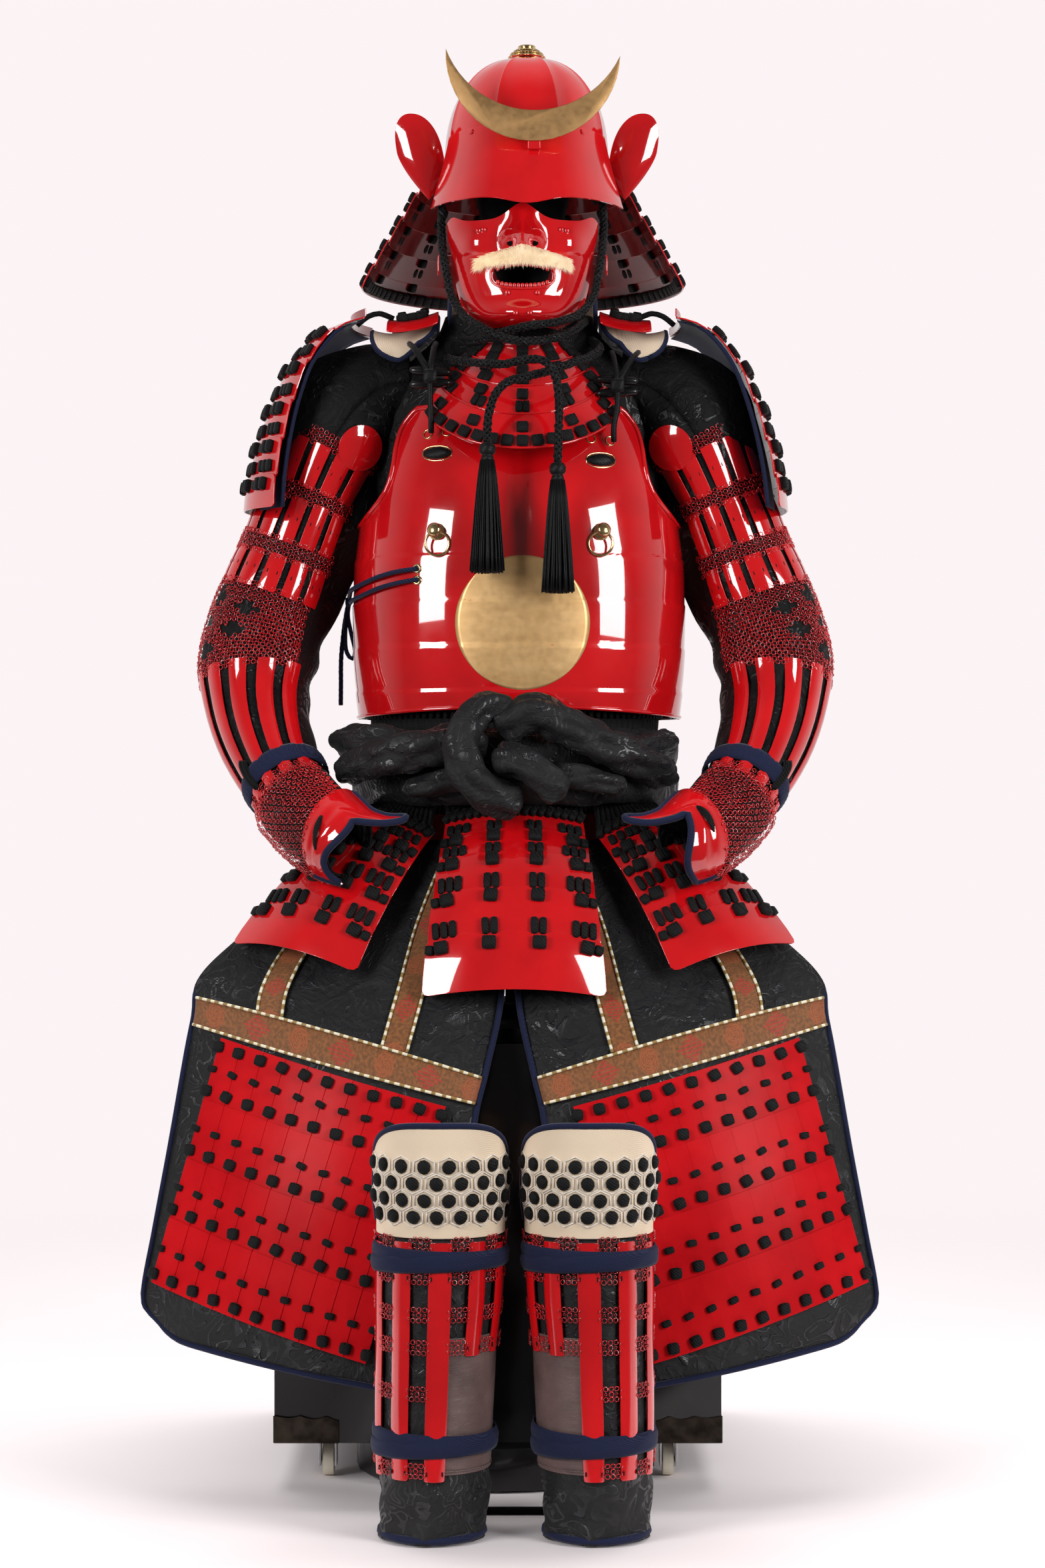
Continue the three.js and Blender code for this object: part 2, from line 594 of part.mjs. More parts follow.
const sodeSurface = (wrap) => (u, v) => {
  const { x, z } = along(SODE_LINE, v);
  const side = mix(1, -1, u);
  return point(-x + wrap * side * side * mix(0.5, 1, v), 4 + side * mix(84, 98, v), z);
};

// ---------------------------------------------------------------- arms

const ARM = [
  { x: 120, y: 4, z: 1232, r: 45 },
  { x: 152, y: 4, z: 1226, r: 54 },
  { x: 182, y: 3, z: 1202, r: 61 },
  { x: 208, y: 2, z: 1166, r: 62 },
  { x: 228, y: 0, z: 1124, r: 56 },
  { x: 246, y: -1, z: 1080, r: 54 },
  { x: 268, y: -3, z: 1020, r: 57 },
  { x: 290, y: -8, z: 958, r: 62 },
  { x: 299, y: -18, z: 905, r: 65 },
  { x: 295, y: -38, z: 858, r: 58 },
  { x: 283, y: -68, z: 818, r: 52 },
  { x: 266, y: -100, z: 783, r: 46 },
  { x: 246, y: -130, z: 752, r: 42 },
];
const HAND = [
  { x: 245, y: -136, z: 750, r: 49 },
  { x: 222, y: -164, z: 728, r: 50 },
  { x: 196, y: -190, z: 710, r: 48 },
  { x: 167, y: -212, z: 699, r: 42 },
  { x: 137, y: -226, z: 699, r: 35 },
  { x: 111, y: -232, z: 706, r: 28 },
];

// A tube about a bent line: angle 0 faces the front and +90 the right-hand side, as seen from the front.
const limbSurface = (line, s, fromAngle, toAngle) => (u, v) => {
  const here = along(line, v);
  const e = 0.5 / (line.length - 1);
  const [before, after] = [along(line, v - e), along(line, v + e)];
  const down = point(s * (after.x - before.x), after.y - before.y, after.z - before.z).normalize();
  const front = point(0, -1, 0).addScaledVector(down, down.y).normalize();
  const right = front.clone().cross(down);
  const a = mix(fromAngle, toAngle, u) * DEGREE;
  return point(s * here.x, here.y, here.z).addScaledVector(front, here.r * cos(a)).addScaledVector(right, here.r * sin(a));
};

// The plate over the back of the hand: short on the outside, and a long tongue over the thumb.
const handSurface = (s) => {
  const limb = limbSurface(HAND, s, s < 0 ? -75 : -90, s < 0 ? 90 : 75);
  return (u, v) => limb(u, v * mix(0.46, 1, pow(max(0, s < 0 ? u : 1 - u), 1.4)));
};

function buildArms() {
  const columns = 12;
  const rows = plainRows(ARM.length - 1);
  for (const { word, s } of SIDES) {
    const place = (name, geometry, colour) => add(name + "_" + word, geometry.translate(OFFSET.arms, 0, 0), colour);
    const limb = limbSurface(ARM, s, 0, 360);
    const [from, to] = s < 0 ? [-6 / columns, 1 / columns] : [-1 / columns, 6 / columns];
    place("sleeve", wall(limb, columns, rows, { closed: true, thickness: CLOTH }), "brocade");
    place("sleeve_armour", wall(limb, 7, rows.slice(3), { from, to, lift: PLATE + GAP }), "lacquer");
    place("hand_guard", wall(handSurface(s), 7, plainRows(4)), "lacquer");
    place("shoulder_guard", wall(sided(sodeSurface(SODE_WRAP[word]), s), 6, lappedRows(6)), "lacquer");
  }
}

// ---------------------------------------------------------------- thigh guards

// The cloth's outer and inner edge at each row, down from the waist tie; bulge is how far its middle stands forward.
const THIGH = [
  { v: 0, ox: -188, oy: -98, oz: 712, ix: -6, iy: -140, iz: 706, bulge: 6 },
  { v: 0.17, ox: -296, oy: -135, oz: 604, ix: -7, iy: -198, iz: 622, bulge: 16 },
  { v: 0.3, ox: -347, oy: -165, oz: 552, ix: -8, iy: -238, iz: 535, bulge: 30 },
  { v: 0.41, ox: -353, oy: -185, oz: 512, ix: -25, iy: -284, iz: 455, bulge: 36 },
  { v: 0.47, ox: -359, oy: -195, oz: 478, ix: -34, iy: -298, iz: 419, bulge: 38 },
  { v: 0.66, ox: -376, oy: -215, oz: 372, ix: -48, iy: -315, iz: 310, bulge: 42 },
  { v: 0.83, ox: -393, oy: -226, oz: 276, ix: -56, iy: -322, iz: 212, bulge: 44 },
  { v: 0.93, ox: -404, oy: -230, oz: 212, ix: -61, iy: -325, iz: 151, bulge: 45 },
  { v: 1, ox: -402, oy: -232, oz: 170, ix: -64, iy: -326, iz: 112, bulge: 46 },
];
const THIGH_COLUMNS = 10;
const PLATES = { from: 0.1, to: 0.9, top: 0.49, foot: 0.945, step: 1.4, thickness: 1.6, clear: 1 };

function thighSurface(u, v) {
  const row = between(THIGH, "v", v);
  const corner = 15 * pow(max(0, 1 - u / 0.16), 2) * pow(max(0, (v - 0.93) / 0.07), 2);
  const forward = row.bulge * 4 * u * (1 - u);
  return point(mix(row.ox, row.ix, u) + corner, mix(row.oy, row.iy, u) - forward, mix(row.oz, row.iz, u) + corner);
}

function buildThighs() {
  const rows = THIGH.map(({ v }) => ({ v, lift: 0 }));
  const lames = lappedRows(4, PLATES.top, PLATES.foot, PLATES.step);
  const { from, to, thickness, clear } = PLATES;
  for (const { word, s } of SIDES) {
    const place = (name, geometry, colour) => add(name + "_" + word, geometry.translate(OFFSET.thighs, 0, 0), colour);
    const base = sided(thighSurface, s);
    place("thigh_cloth", wall(base, THIGH_COLUMNS, rows, { thickness: CLOTH }), "brocade");
    const skinOn = { thickness, from, to, lift: thickness + clear };
    place("thigh_plates", wall(base, THIGH_COLUMNS - 2, lames, skinOn), "lacquer");
  }
}

// ---------------------------------------------------------------- shins

const SHIN = [
  { z: 311, w: 62, d: 67 },
  { z: 262, w: 61, d: 70 },
  { z: 200, w: 58, d: 68 },
  { z: 110, w: 57, d: 65 },
  { z: 58, w: 55, d: 64 },
  { z: 1.5, w: 53, d: 62 },
];
const SHIN_COLUMNS = 12;
const SHIN_REACH = 150; // the greave is open behind
const KNEE_REACH = 96;

const shinHeight = SHIN[0].z - SHIN[SHIN.length - 1].z;

// The left and right greave lean apart a little towards the foot.
const shinSurface = (i) => (u, v) => {
  const a = mix(-SHIN_REACH, SHIN_REACH, u) * DEGREE;
  const z = SHIN[0].z - v * shinHeight;
  const { w, d } = between(SHIN, "z", z);
  return point(GREAVE.x[i] + GREAVE.lean[i] * v + w * sin(a), GREAVE.y - d * cos(a), z);
};

// Quilted knee cap: an arched flap that stands up from the greave.
const kneeSurface = (i) => (u, v) => {
  const side = mix(-1, 1, u);
  const a = side * KNEE_REACH * DEGREE;
  const z = mix(GREAVE.kneeTop - 46 * pow(abs(side), 3.2), GREAVE.kneeBottom, v);
  const swell = 6 * sin(PI * min(1, v + 0.15));
  return point(GREAVE.x[i] + (66 + swell / 2) * sin(a), GREAVE.y - (70 + swell) * cos(a), z);
};

function buildShins() {
  const rows = SHIN.map(({ z }) => ({ v: (SHIN[0].z - z) / shinHeight, lift: 0 }));
  SIDES.forEach(({ word }, i) => {
    add("shin_cloth_" + word, wall(shinSurface(i), SHIN_COLUMNS, rows, { thickness: CLOTH }), "brocade");
    const splints = wall(shinSurface(i), 8, rows.slice(0, 5), { from: 1 / 6, to: 5 / 6, lift: PLATE + GAP });
    add("shin_splints_" + word, splints, "lacquer");
    add("knee_guard_" + word, wall(kneeSurface(i), 10, plainRows(4), { thickness: CLOTH }), "cream");
  });
}

// ---------------------------------------------------------------- display stand

function buildStand() {
  const { x, width, front, back, bottom, top, wall: side, lid } = BOX;
  const [left, right] = [x - width / 2, x + width / 2];
  const shell = cuboid(point(left, front, bottom), point(right, back, top));
  const hollow = cuboid(point(left + side, front + side, bottom + side), point(right - side, back - side, top + side));
  const drum = upright(160, 3, bottom + 1, 24).translate(x, -112, 0);
  add("armour_box", joined(cut(shell, hollow), drum), "boxLacquer");

  const board = cuboid(point(left, front, top + GAP), point(right, back, top + lid));
  const foot = cuboid(point(-90, -70, top + lid - 1), point(90, 90, top + 2 * lid));
  const post = cuboid(point(-20, -10, top + lid), point(20, 30, 1180));
  const bar = cuboid(point(-112, -4, 1140), point(112, 24, 1180));
  const head = turned([[0, 1170], [24, 1172], [24, 1340], [40, 1392], [54, 1450], [58, 1500], [44, 1560], [0, 1584]], 16);
  add("display_stand", joined(board, foot, post, bar, head.translate(0, 10, 0)), "boxLacquer");

  // Inside each greave stands a post on a foot; the feet reach out through the open backs to one cross bar.
  const reach = GREAVE.y + 112;
  const feet = GREAVE.x.flatMap((at, i) => {
    const middle = at + GREAVE.lean[i];
    return [
      upright(34, 0, 8, 16).translate(middle, GREAVE.y, 0),
      upright(11, 7, 290, 10).translate(middle, GREAVE.y, 0),
      cuboid(point(middle - 11, GREAVE.y, 0), point(middle + 11, reach, 6)),
    ];
  });
  const [near, far] = GREAVE.x.map((at, i) => at + GREAVE.lean[i]);
  const crossBar = cuboid(point(near - 11, reach - 18, 0), point(far + 11, reach, 5));
  add("shin_stand", joined(...feet, crossBar), "boxLacquer");
}

// A swivel caster: a plate and two cheeks that turn under the box, with a wheel on the axle between them.
function buildCasters() {
  const { inset, wheelRadius, wheelWidth, trail, cheek, axleRadius } = CASTER;
  const top = BOX.bottom - 0.5;
  const outerHalf = wheelWidth / 2 + 1 + cheek;
  for (const [end, y] of [["front", BOX.front + inset], ["back", BOX.back - inset]])
    for (const { word, s } of SIDES) {
      const x = BOX.x + s * (BOX.width / 2 - inset);
      const plate = upright(15, top - 3, top, 12);
      const arms = [-1, 1].map((k) => {
        const mid = k * (outerHalf - cheek / 2);
        return cuboid(point(mid - cheek / 2, -7, wheelRadius - 5), point(mid + cheek / 2, trail + 6, top - 2));
      });
      const axle = new THREE.CylinderGeometry(axleRadius, axleRadius, 2 * outerHalf, 8).rotateZ(PI / 2);
      axle.translate(0, trail, wheelRadius);
      add("caster_fork_" + end + "_" + word, joined(plate, ...arms, axle).translate(x, y, 0), "steel");
      const [bore, rim, half] = [axleRadius + 0.6, wheelRadius, wheelWidth / 2];
      const face = [[bore, -half], [rim - 1, -half], [rim, 1 - half]];
      const section = [...face, [rim, half - 1], [rim - 1, half], [bore, half], [bore, -half]];
      const wheel = new THREE.LatheGeometry(section.map(([r, h]) => new THREE.Vector2(r, h)), 16).rotateZ(PI / 2);
      add("caster_wheel_" + end + "_" + word, wheel.translate(x, y + trail, wheelRadius), "wheel");
    }
}

buildHelmet();
buildMask();
buildCords();
buildCuirass();
buildSideCord();
buildSash();
buildTassets();
buildArms();
buildThighs();
buildShins();
buildStand();
buildCasters();

export default figure;
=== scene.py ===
import math
import random

import bmesh
import bpy
from mathutils import Matrix, Vector


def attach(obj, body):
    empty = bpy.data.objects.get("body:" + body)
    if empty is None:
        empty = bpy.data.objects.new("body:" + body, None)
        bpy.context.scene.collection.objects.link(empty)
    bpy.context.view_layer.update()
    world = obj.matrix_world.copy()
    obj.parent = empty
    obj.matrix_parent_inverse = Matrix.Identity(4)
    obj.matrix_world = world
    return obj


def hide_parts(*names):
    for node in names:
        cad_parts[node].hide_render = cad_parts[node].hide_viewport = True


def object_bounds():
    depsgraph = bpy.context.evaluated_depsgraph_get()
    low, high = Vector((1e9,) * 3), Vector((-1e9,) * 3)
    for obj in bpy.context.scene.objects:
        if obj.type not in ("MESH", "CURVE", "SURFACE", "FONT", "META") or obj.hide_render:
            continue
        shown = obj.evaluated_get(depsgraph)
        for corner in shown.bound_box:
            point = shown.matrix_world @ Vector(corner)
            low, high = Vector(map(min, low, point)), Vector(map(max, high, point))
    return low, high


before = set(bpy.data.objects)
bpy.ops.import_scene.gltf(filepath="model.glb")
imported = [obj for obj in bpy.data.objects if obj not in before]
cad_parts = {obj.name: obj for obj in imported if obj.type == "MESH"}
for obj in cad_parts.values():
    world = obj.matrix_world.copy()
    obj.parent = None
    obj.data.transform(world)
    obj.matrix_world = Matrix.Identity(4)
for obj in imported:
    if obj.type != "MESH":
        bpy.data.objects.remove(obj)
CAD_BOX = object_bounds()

MM = 0.001
FIGURE_SIDE, FIGURE_BACK = 14, 152  # the figure's own axis in the set's frame
OFFSET = {"cuirass": -4, "skirt": -9, "arms": -8, "thighs": -14}  # each group hangs a little to the left
PLATE = 2.0  # lacquered steel
CLOTH = 2.4  # quilted brocade
LAP_STEP = 2.3  # each lower lame lies this much further out
SIDES = (("left", -1), ("right", 1))
GRID_SHARE = 0.61  # the part of the drawn fineness that a finished grid keeps
sin, cos, sqrt, pi = math.sin, math.cos, math.sqrt, math.pi
DEGREE = pi / 180
STANDING = Matrix.Rotation(pi / 2, 4, "X")  # stands a flat shape up to face the front
dice = random.Random(17)


def at(x, y, z):
    """A place in the figure's own millimetres, in metres in the set's frame."""
    return Vector(((x + FIGURE_SIDE) * MM, (y + FIGURE_BACK) * MM, z * MM))


def mix(a, b, t):
    return a + (b - a) * t


def bump(distance, width):
    return math.exp(-((distance / width) ** 2))


def clamp(value, low=0.0, high=1.0):
    return max(low, min(high, value))


def paired(u, s):
    """The same place on both of a pair: u is counted from the other edge on the right one."""
    return u if s < 0 else 1 - u


def jitter(spread):
    return dice.uniform(-spread, spread)


def between(table, key):
    """A row of numbers between a table's rows, found by its first column, on a smooth curve."""
    rows = table if table[0][0] < table[-1][0] else table[::-1]
    key = clamp(key, rows[0][0], rows[-1][0])
    i = 0
    while i < len(rows) - 2 and key > rows[i + 1][0]:
        i += 1
    low, high = rows[i], rows[i + 1]
    before, after = rows[max(0, i - 1)], rows[min(len(rows) - 1, i + 2)]
    gap = high[0] - low[0]
    t = (key - low[0]) / gap
    made = []
    for a, b, c, d in zip(before, low, high, after):
        rise_low = (c - a) / (high[0] - before[0]) * gap
        rise_high = (d - b) / (after[0] - low[0]) * gap
        made.append(b * (2 * t**3 - 3 * t**2 + 1) + rise_low * (t**3 - 2 * t**2 + t)
                    + c * (3 * t**2 - 2 * t**3) + rise_high * (t**3 - t**2))
    return made


def smooth(a, b, c, d, t):
    """A place between b and c on a smooth curve through all four, t of the way on."""
    return 0.5 * (2 * b + (c - a) * t + (2 * a - 5 * b + 4 * c - d) * t * t + (3 * b - a - 3 * c + d) * t**3)


def along(table, share):
    """A row of numbers at a share of a table's rows, smoothly from row to row."""
    place = clamp(share) * (len(table) - 1)
    i = min(len(table) - 2, int(place))
    rows = [table[clamp(i + k, 0, len(table) - 1)] for k in (-1, 0, 1, 2)]
    return [smooth(*four, place - i) for four in zip(*rows)]


# ---------------- camera, light and floor

CAMERA_PLACE = (0.014, -3.848, 0.770)
CAMERA_LENS = 78.98


def studio():
    eye = placed("studio_camera", bpy.data.cameras.new("studio_camera"))
    eye.location = CAMERA_PLACE
    eye.rotation_euler = (pi / 2, 0, 0)
    eye.data.lens = CAMERA_LENS
    eye.data.sensor_width = 36
    bpy.context.scene.camera = eye
    bpy.context.scene.view_settings.view_transform = "Standard"

    # White paper behind, beside and above the armour, and a darker room in front of it.
    world = bpy.data.worlds.new("studio_air")
    world.use_nodes = True
    tree = world.node_tree
    room = tree.nodes["Background"]
    room.inputs["Strength"].default_value = 0.8
    way = node(tree, "TexCoord")
    parts = node(tree, "SeparateXYZ")
    wire(tree, way, "Generated", parts, "Vector")
    depth = node(tree, "MapRange", {"From Min": -0.4, "From Max": 0.25})
    rise = node(tree, "MapRange", {"From Min": 0.1, "From Max": 0.9, "To Min": 1.0, "To Max": 0.4})
    wire(tree, parts, "Y", depth, "Value")
    wire(tree, parts, "Z", rise, "Value")
    both = product(tree, (depth, "Result"), (rise, "Result"))
    dark_to_white = two_tone(tree, both, "Value", (0.13, 0.12, 0.12), (1.0, 0.95, 0.955), 0.0, 1.0)
    wire(tree, dark_to_white, "Color", room, "Color")
    paper = node(tree, "Background", {"Color": (1.0, 0.925, 0.94, 1), "Strength": 0.97})
    seen = node(tree, "LightPath")
    choice = node(tree, "MixShader")
    wire(tree, seen, "Is Camera Ray", choice, 0)
    wire(tree, room, "Background", choice, 1)
    wire(tree, paper, "Background", choice, 2)
    wire(tree, choice, "Shader", tree.nodes["World Output"], "Surface")
    bpy.context.scene.world = world

    lamps = (
        ("softbox_left", (-2.1, -2.3, 1.6), (1.1, 1.5), 62),
        ("softbox_right", (2.2, -2.0, 1.55), (1.1, 1.6), 64),
        ("softbox_over", (0.0, 0.9, 3.5), (3.4, 2.0), 100),
        ("softbox_behind", (0.0, 3.2, 3.4), (8.0, 4.0), 17),
    )
    for name, place, (wide, tall), watts in lamps:
        light = bpy.data.lights.new(name, "AREA")
        light.shape = "RECTANGLE"
        light.size, light.size_y = wide, tall
        light.energy = watts
        lamp = placed(name, light)
        lamp.location = place
        aim = Vector((0, 3.7, 0)) if name == "softbox_behind" else Vector((0, 0.1, 0.85))
        lamp.rotation_euler = (aim - Vector(place)).to_track_quat("-Z", "Y").to_euler()
        lamp.visible_glossy = name in ("softbox_left", "softbox_right")

    bm = bmesh.new()
    bmesh.ops.create_grid(bm, x_segments=2, y_segments=2, size=7)
    bmesh.ops.scale(bm, vec=(1, 0.27, 1), verts=bm.verts[:])
    bmesh.ops.translate(bm, vec=(0, 1.26, 0), verts=bm.verts[:])
    floor = template("studio_floor", bm)
    ground = placed("studio_floor", floor)
    ground.location.z = CAD_BOX[0][2] - 0.0005
    floor.materials.append(floor_paper())


# ---------------- finishes


def placed(name, data):
    made = bpy.data.objects.new(name, data)
    bpy.context.collection.objects.link(made)
    return made


def node(tree, kind, inputs=None, **settings):
    made = tree.nodes.new("ShaderNode" + kind)
    for name, value in settings.items():
        setattr(made, name, value)
    for name, value in (inputs or {}).items():
        made.inputs[name].default_value = value
    return made


def wire(tree, source, output, target, socket):
    tree.links.new(source.outputs[output], target.inputs[socket])


def product(tree, one, other):
    """Multiplies two values, each given as a node and the name of its output."""
    made = node(tree, "Math", operation="MULTIPLY")
    wire(tree, *one, made, 0)
    wire(tree, *other, made, 1)
    return made


def new_finish(name, colour, roughness, **sockets):
    """A material whose even values sit on the shader's own sockets."""
    material = bpy.data.materials.new(name)
    material.use_nodes = True
    tree = material.node_tree
    shader = tree.nodes["Principled BSDF"]
    shader.inputs["Base Color"].default_value = (*colour, 1)
    shader.inputs["Roughness"].default_value = roughness
    for socket, value in sockets.items():
        shader.inputs[socket.replace("_", " ")].default_value = value
    return material, tree, shader


def grain(tree, scale, detail=2.0, rough=0.5, distortion=0.0, on="Object", stretch=(1, 1, 1)):
    """Noise laid on the piece's own place (Object) or along its cloth (UV), scale in waves to the metre."""
    places = node(tree, "TexCoord")
    turn = node(tree, "Mapping", {"Scale": stretch})
    noise = node(tree, "TexNoise", {"Scale": scale, "Detail": detail, "Roughness": rough,
                                    "Distortion": distortion})
    wire(tree, places, on, turn, "Vector")
    wire(tree, turn, "Vector", noise, "Vector")
    return noise


def two_tone(tree, source, output, low, high, start=0.3, end=0.7):
    ramp = node(tree, "ValToRGB")
    ramp.color_ramp.elements[0].position, ramp.color_ramp.elements[1].position = start, end
    ramp.color_ramp.elements[0].color = (*low, 1)
    ramp.color_ramp.elements[1].color = (*high, 1)
    wire(tree, source, output, ramp, "Fac")
    return ramp


def grey_range(tree, source, output, low, high, start=0.3, end=0.7):
    return two_tone(tree, source, output, (low,) * 3, (high,) * 3, start, end)


def tint(tree, shader, source, output, low, high, start=0.3, end=0.7):
    """Colours a finish from one tone to another by a pattern."""
    wire(tree, two_tone(tree, source, output, low, high, start, end), "Color", shader, "Base Color")


def vary_gloss(tree, shader, source, output, low, high, start=0.3, end=0.7):
    wire(tree, grey_range(tree, source, output, low, high, start, end), "Color", shader, "Roughness")


def raise_grain(tree, shader, source, output, strength, depth, under=None):
    relief = node(tree, "Bump", {"Strength": strength, "Distance": depth})
    wire(tree, source, output, relief, "Height")
    if under:
        wire(tree, under, "Normal", relief, "Normal")
    wire(tree, relief, "Normal", shader, "Normal")
    return relief


def plain_paint(name, colour, roughness, spread=0.04):
    material, tree, shader = new_finish(name, colour, roughness)
    darker = tuple(c * (1 - spread) for c in colour)
    tint(tree, shader, grain(tree, 9, 3), "Fac", darker, colour)
    raise_grain(tree, shader, grain(tree, 600, 2), "Fac", 0.05, 0.0004)
    return material


def floor_paper():
    """White paper on the floor, which thins out to nothing all round, so that it has no edge."""
    material = plain_paint("floor_paper", (0.96, 0.893, 0.902), 0.8, 0.01)
    tree = material.node_tree
    parts = node(tree, "SeparateXYZ")
    wire(tree, node(tree, "TexCoord"), "Object", parts, "Vector")
    beside = node(tree, "Math", operation="ABSOLUTE")
    wire(tree, parts, "X", beside, 0)
    fades = ((parts, "Y", -0.47, -0.62), (parts, "Y", 0.6, 2.6), (beside, "Value", 0.75, 1.9))
    left = None
    for source, output, solid, gone in fades:
        low, high = min(solid, gone), max(solid, gone)
        ends = {"From Min": low, "From Max": high, "To Min": float(low == solid),
                "To Max": float(low == gone)}
        fade = node(tree, "MapRange", ends, interpolation_type="SMOOTHSTEP")
        wire(tree, source, output, fade, "Value")
        here = (fade, "Result")
        left = (product(tree, left, here), "Value") if left else here
    wire(tree, *left, tree.nodes["Principled BSDF"], "Alpha")
    return material


def lacquer(name, deep, bright, roughness=0.13, peel=0.05, coat=1.0, coat_roughness=0.025, level=0.15):
    """Sprayed and polished lacquer: a deep coat over a slightly uneven colour, with a long soft peel."""
    material, tree, shader = new_finish(name, bright, roughness, Coat_Weight=coat,
                                        Coat_Roughness=coat_roughness, Coat_IOR=1.75,
                                        Specular_IOR_Level=level)
    tint(tree, shader, grain(tree, 14, 3), "Fac", deep, bright)
    vary_gloss(tree, shader, grain(tree, 38, 4), "Fac", roughness * 0.7, roughness * 1.5)
    waves = raise_grain(tree, shader, grain(tree, 42, 1.5), "Fac", peel, 0.0015)
    raise_grain(tree, shader, grain(tree, 900, 1), "Fac", 0.03, 0.0001, waves)
    return material


def metal(name, dark, light, roughness, scratches=900, stretch=(1, 1, 1)):
    material, tree, shader = new_finish(name, light, roughness, Metallic=1.0)
    tint(tree, shader, grain(tree, 70, 4), "Fac", dark, light)
    vary_gloss(tree, shader, grain(tree, 160, 3), "Fac", roughness * 0.88, roughness * 1.15)
    raise_grain(tree, shader, grain(tree, scratches, 2, stretch=stretch), "Fac", 0.1, 0.0002)
    return material


def woven(name, colour, pale, pitch, roughness=0.85, sheen=0.25, strength=0.5):
    """Plain woven or braided cotton and silk: slanting ribs at the thread's pitch, in metres."""
    material, tree, shader = new_finish(name, colour, roughness, Sheen_Weight=sheen, Sheen_Roughness=0.4,
                                        Specular_IOR_Level=0.2)
    slant = node(tree, "Mapping", {"Rotation": (0.5, 0.6, 0.78)})
    wire(tree, node(tree, "TexCoord"), "Object", slant, "Vector")
    ribs = node(tree, "TexWave", {"Scale": 1 / (pitch * 6.28), "Distortion": 1.5, "Detail": 1.0,
                                  "Detail Scale": 2.0})
    wire(tree, slant, "Vector", ribs, "Vector")
    tint(tree, shader, ribs, "Fac", colour, pale, 0.1, 0.95)
    threads = raise_grain(tree, shader, ribs, "Fac", strength, pitch * 0.35)
    raise_grain(tree, shader, grain(tree, 700, 3), "Fac", 0.25, 0.0004, threads)
    return material


def damask(name, glint, ground, leaf):
    """Black silk damask: a dull ground with low scrolling leaves in a glossier satin weave; the leaves'
    lighter colour is a painted sheen.
    """
    material, tree, shader = new_finish(name, ground, 0.5, Sheen_Weight=0.02, Sheen_Roughness=0.35,
                                        Specular_IOR_Level=glint)
    scrolls = grain(tree, 24, 0.6, distortion=1.9)
    coil = node(tree, "Math", operation="MULTIPLY")
    coil.inputs[1].default_value = 34.0
    wire(tree, scrolls, "Fac", coil, 0)
    wave = node(tree, "Math", operation="SINE")
    wire(tree, coil, "Value", wave, 0)
    figure = grey_range(tree, wave, "Value", 0.0, 1.0, 0.25, 0.6)
    patches = grey_range(tree, grain(tree, 19, 1.0), "Fac", 0.15, 1.0, 0.42, 0.56)
    leaves = product(tree, (figure, "Color"), (patches, "Color"))
    # The leaves are painted a lighter colour than the ground: painted sheen on a real woven pattern. Their
    # lower roughness below gives the real satin gloss.
    tint(tree, shader, leaves, "Value", ground, leaf, 0.0, 1.0)
    vary_gloss(tree, shader, leaves, "Value", 0.72, 0.28, 0.0, 1.0)
    raised = raise_grain(tree, shader, leaves, "Value", 1.0, 0.0016)
    crumple = raise_grain(tree, shader, grain(tree, 30, 5, 0.6, distortion=0.8), "Fac", 0.8, 0.006, raised)
    raise_grain(tree, shader, grain(tree, 1300, 2), "Fac", 0.3, 0.0003, crumple)
    return material


def fabric_band():
    """Brown brocade ribbon: rust rosettes and red lattice diamonds in turn, on a fine ribbed ground."""
    material, tree, shader = new_finish("brown_brocade", (0.2, 0.06, 0.02), 0.65, Sheen_Weight=0.1)
    cloth = node(tree, "TexCoord")
    parts = node(tree, "SeparateXYZ")
    wire(tree, cloth, "UV", parts, "Vector")

    def work(operation, *values):
        made = node(tree, "Math", operation=operation)
        for socket, value in zip(made.inputs, values):
            if isinstance(value, float):
                socket.default_value = value
            else:
                tree.links.new(value, socket)
        return made.outputs[0]

    def times(a, b):
        return work("MULTIPLY", a, b)

    def add(a, b):
        return work("ADD", a, b)

    # UV runs in metres: x along the ribbon, y across it from its middle. One figure fills each repeat.
    repeat = 0.054
    cell = work("DIVIDE", parts.outputs[0], repeat)
    odd = times(work("FRACT", times(work("FLOOR", cell), 0.5)), 2.0)
    x = times(work("SUBTRACT", work("FRACT", cell), 0.5), repeat)
    y = parts.outputs[1]
    radius = work("SQRT", add(times(x, x), times(y, y)))
    petal = work("SINE", add(times(work("ARCTAN2", y, x), 5.0), times(radius, 900.0)))
    ring = work("SINE", add(times(radius, 2600.0), times(petal, 1.2)))
    rosette = times(work("LESS_THAN", radius, 0.0125), work("GREATER_THAN", ring, 0.05))
    spread = add(work("ABSOLUTE", x), times(work("ABSOLUTE", y), 1.25))
    lattice = times(work("SINE", times(add(x, y), 900.0)), work("SINE", times(work("SUBTRACT", x, y), 900.0)))
    lozenge = times(work("LESS_THAN", spread, 0.0175), work("GREATER_THAN", lattice, 0.05))
    ground = two_tone(tree, grain(tree, 260, 3, on="UV"), "Fac", (0.135, 0.05, 0.012), (0.26, 0.092, 0.022),
                      0.35, 0.65)
    shade = ground.outputs["Color"]
    rust = (times(rosette, work("SUBTRACT", 1.0, odd)), (0.36, 0.075, 0.02, 1))
    red = (times(lozenge, odd), (0.42, 0.02, 0.014, 1))
    for share, colour in (rust, red):
        blend = node(tree, "Mix", data_type="RGBA")
        tree.links.new(share, blend.inputs[0])
        tree.links.new(shade, blend.inputs[6])
        blend.inputs[7].default_value = colour
        shade = blend.outputs[2]
    tree.links.new(shade, shader.inputs["Base Color"])
    ribs = node(tree, "TexWave", {"Scale": 160.0, "Distortion": 0.3})
    ribs.bands_direction = "X"
    wire(tree, cloth, "UV", ribs, "Vector")
    raise_grain(tree, shader, ribs, "Fac", 0.35, 0.0004)
    return material


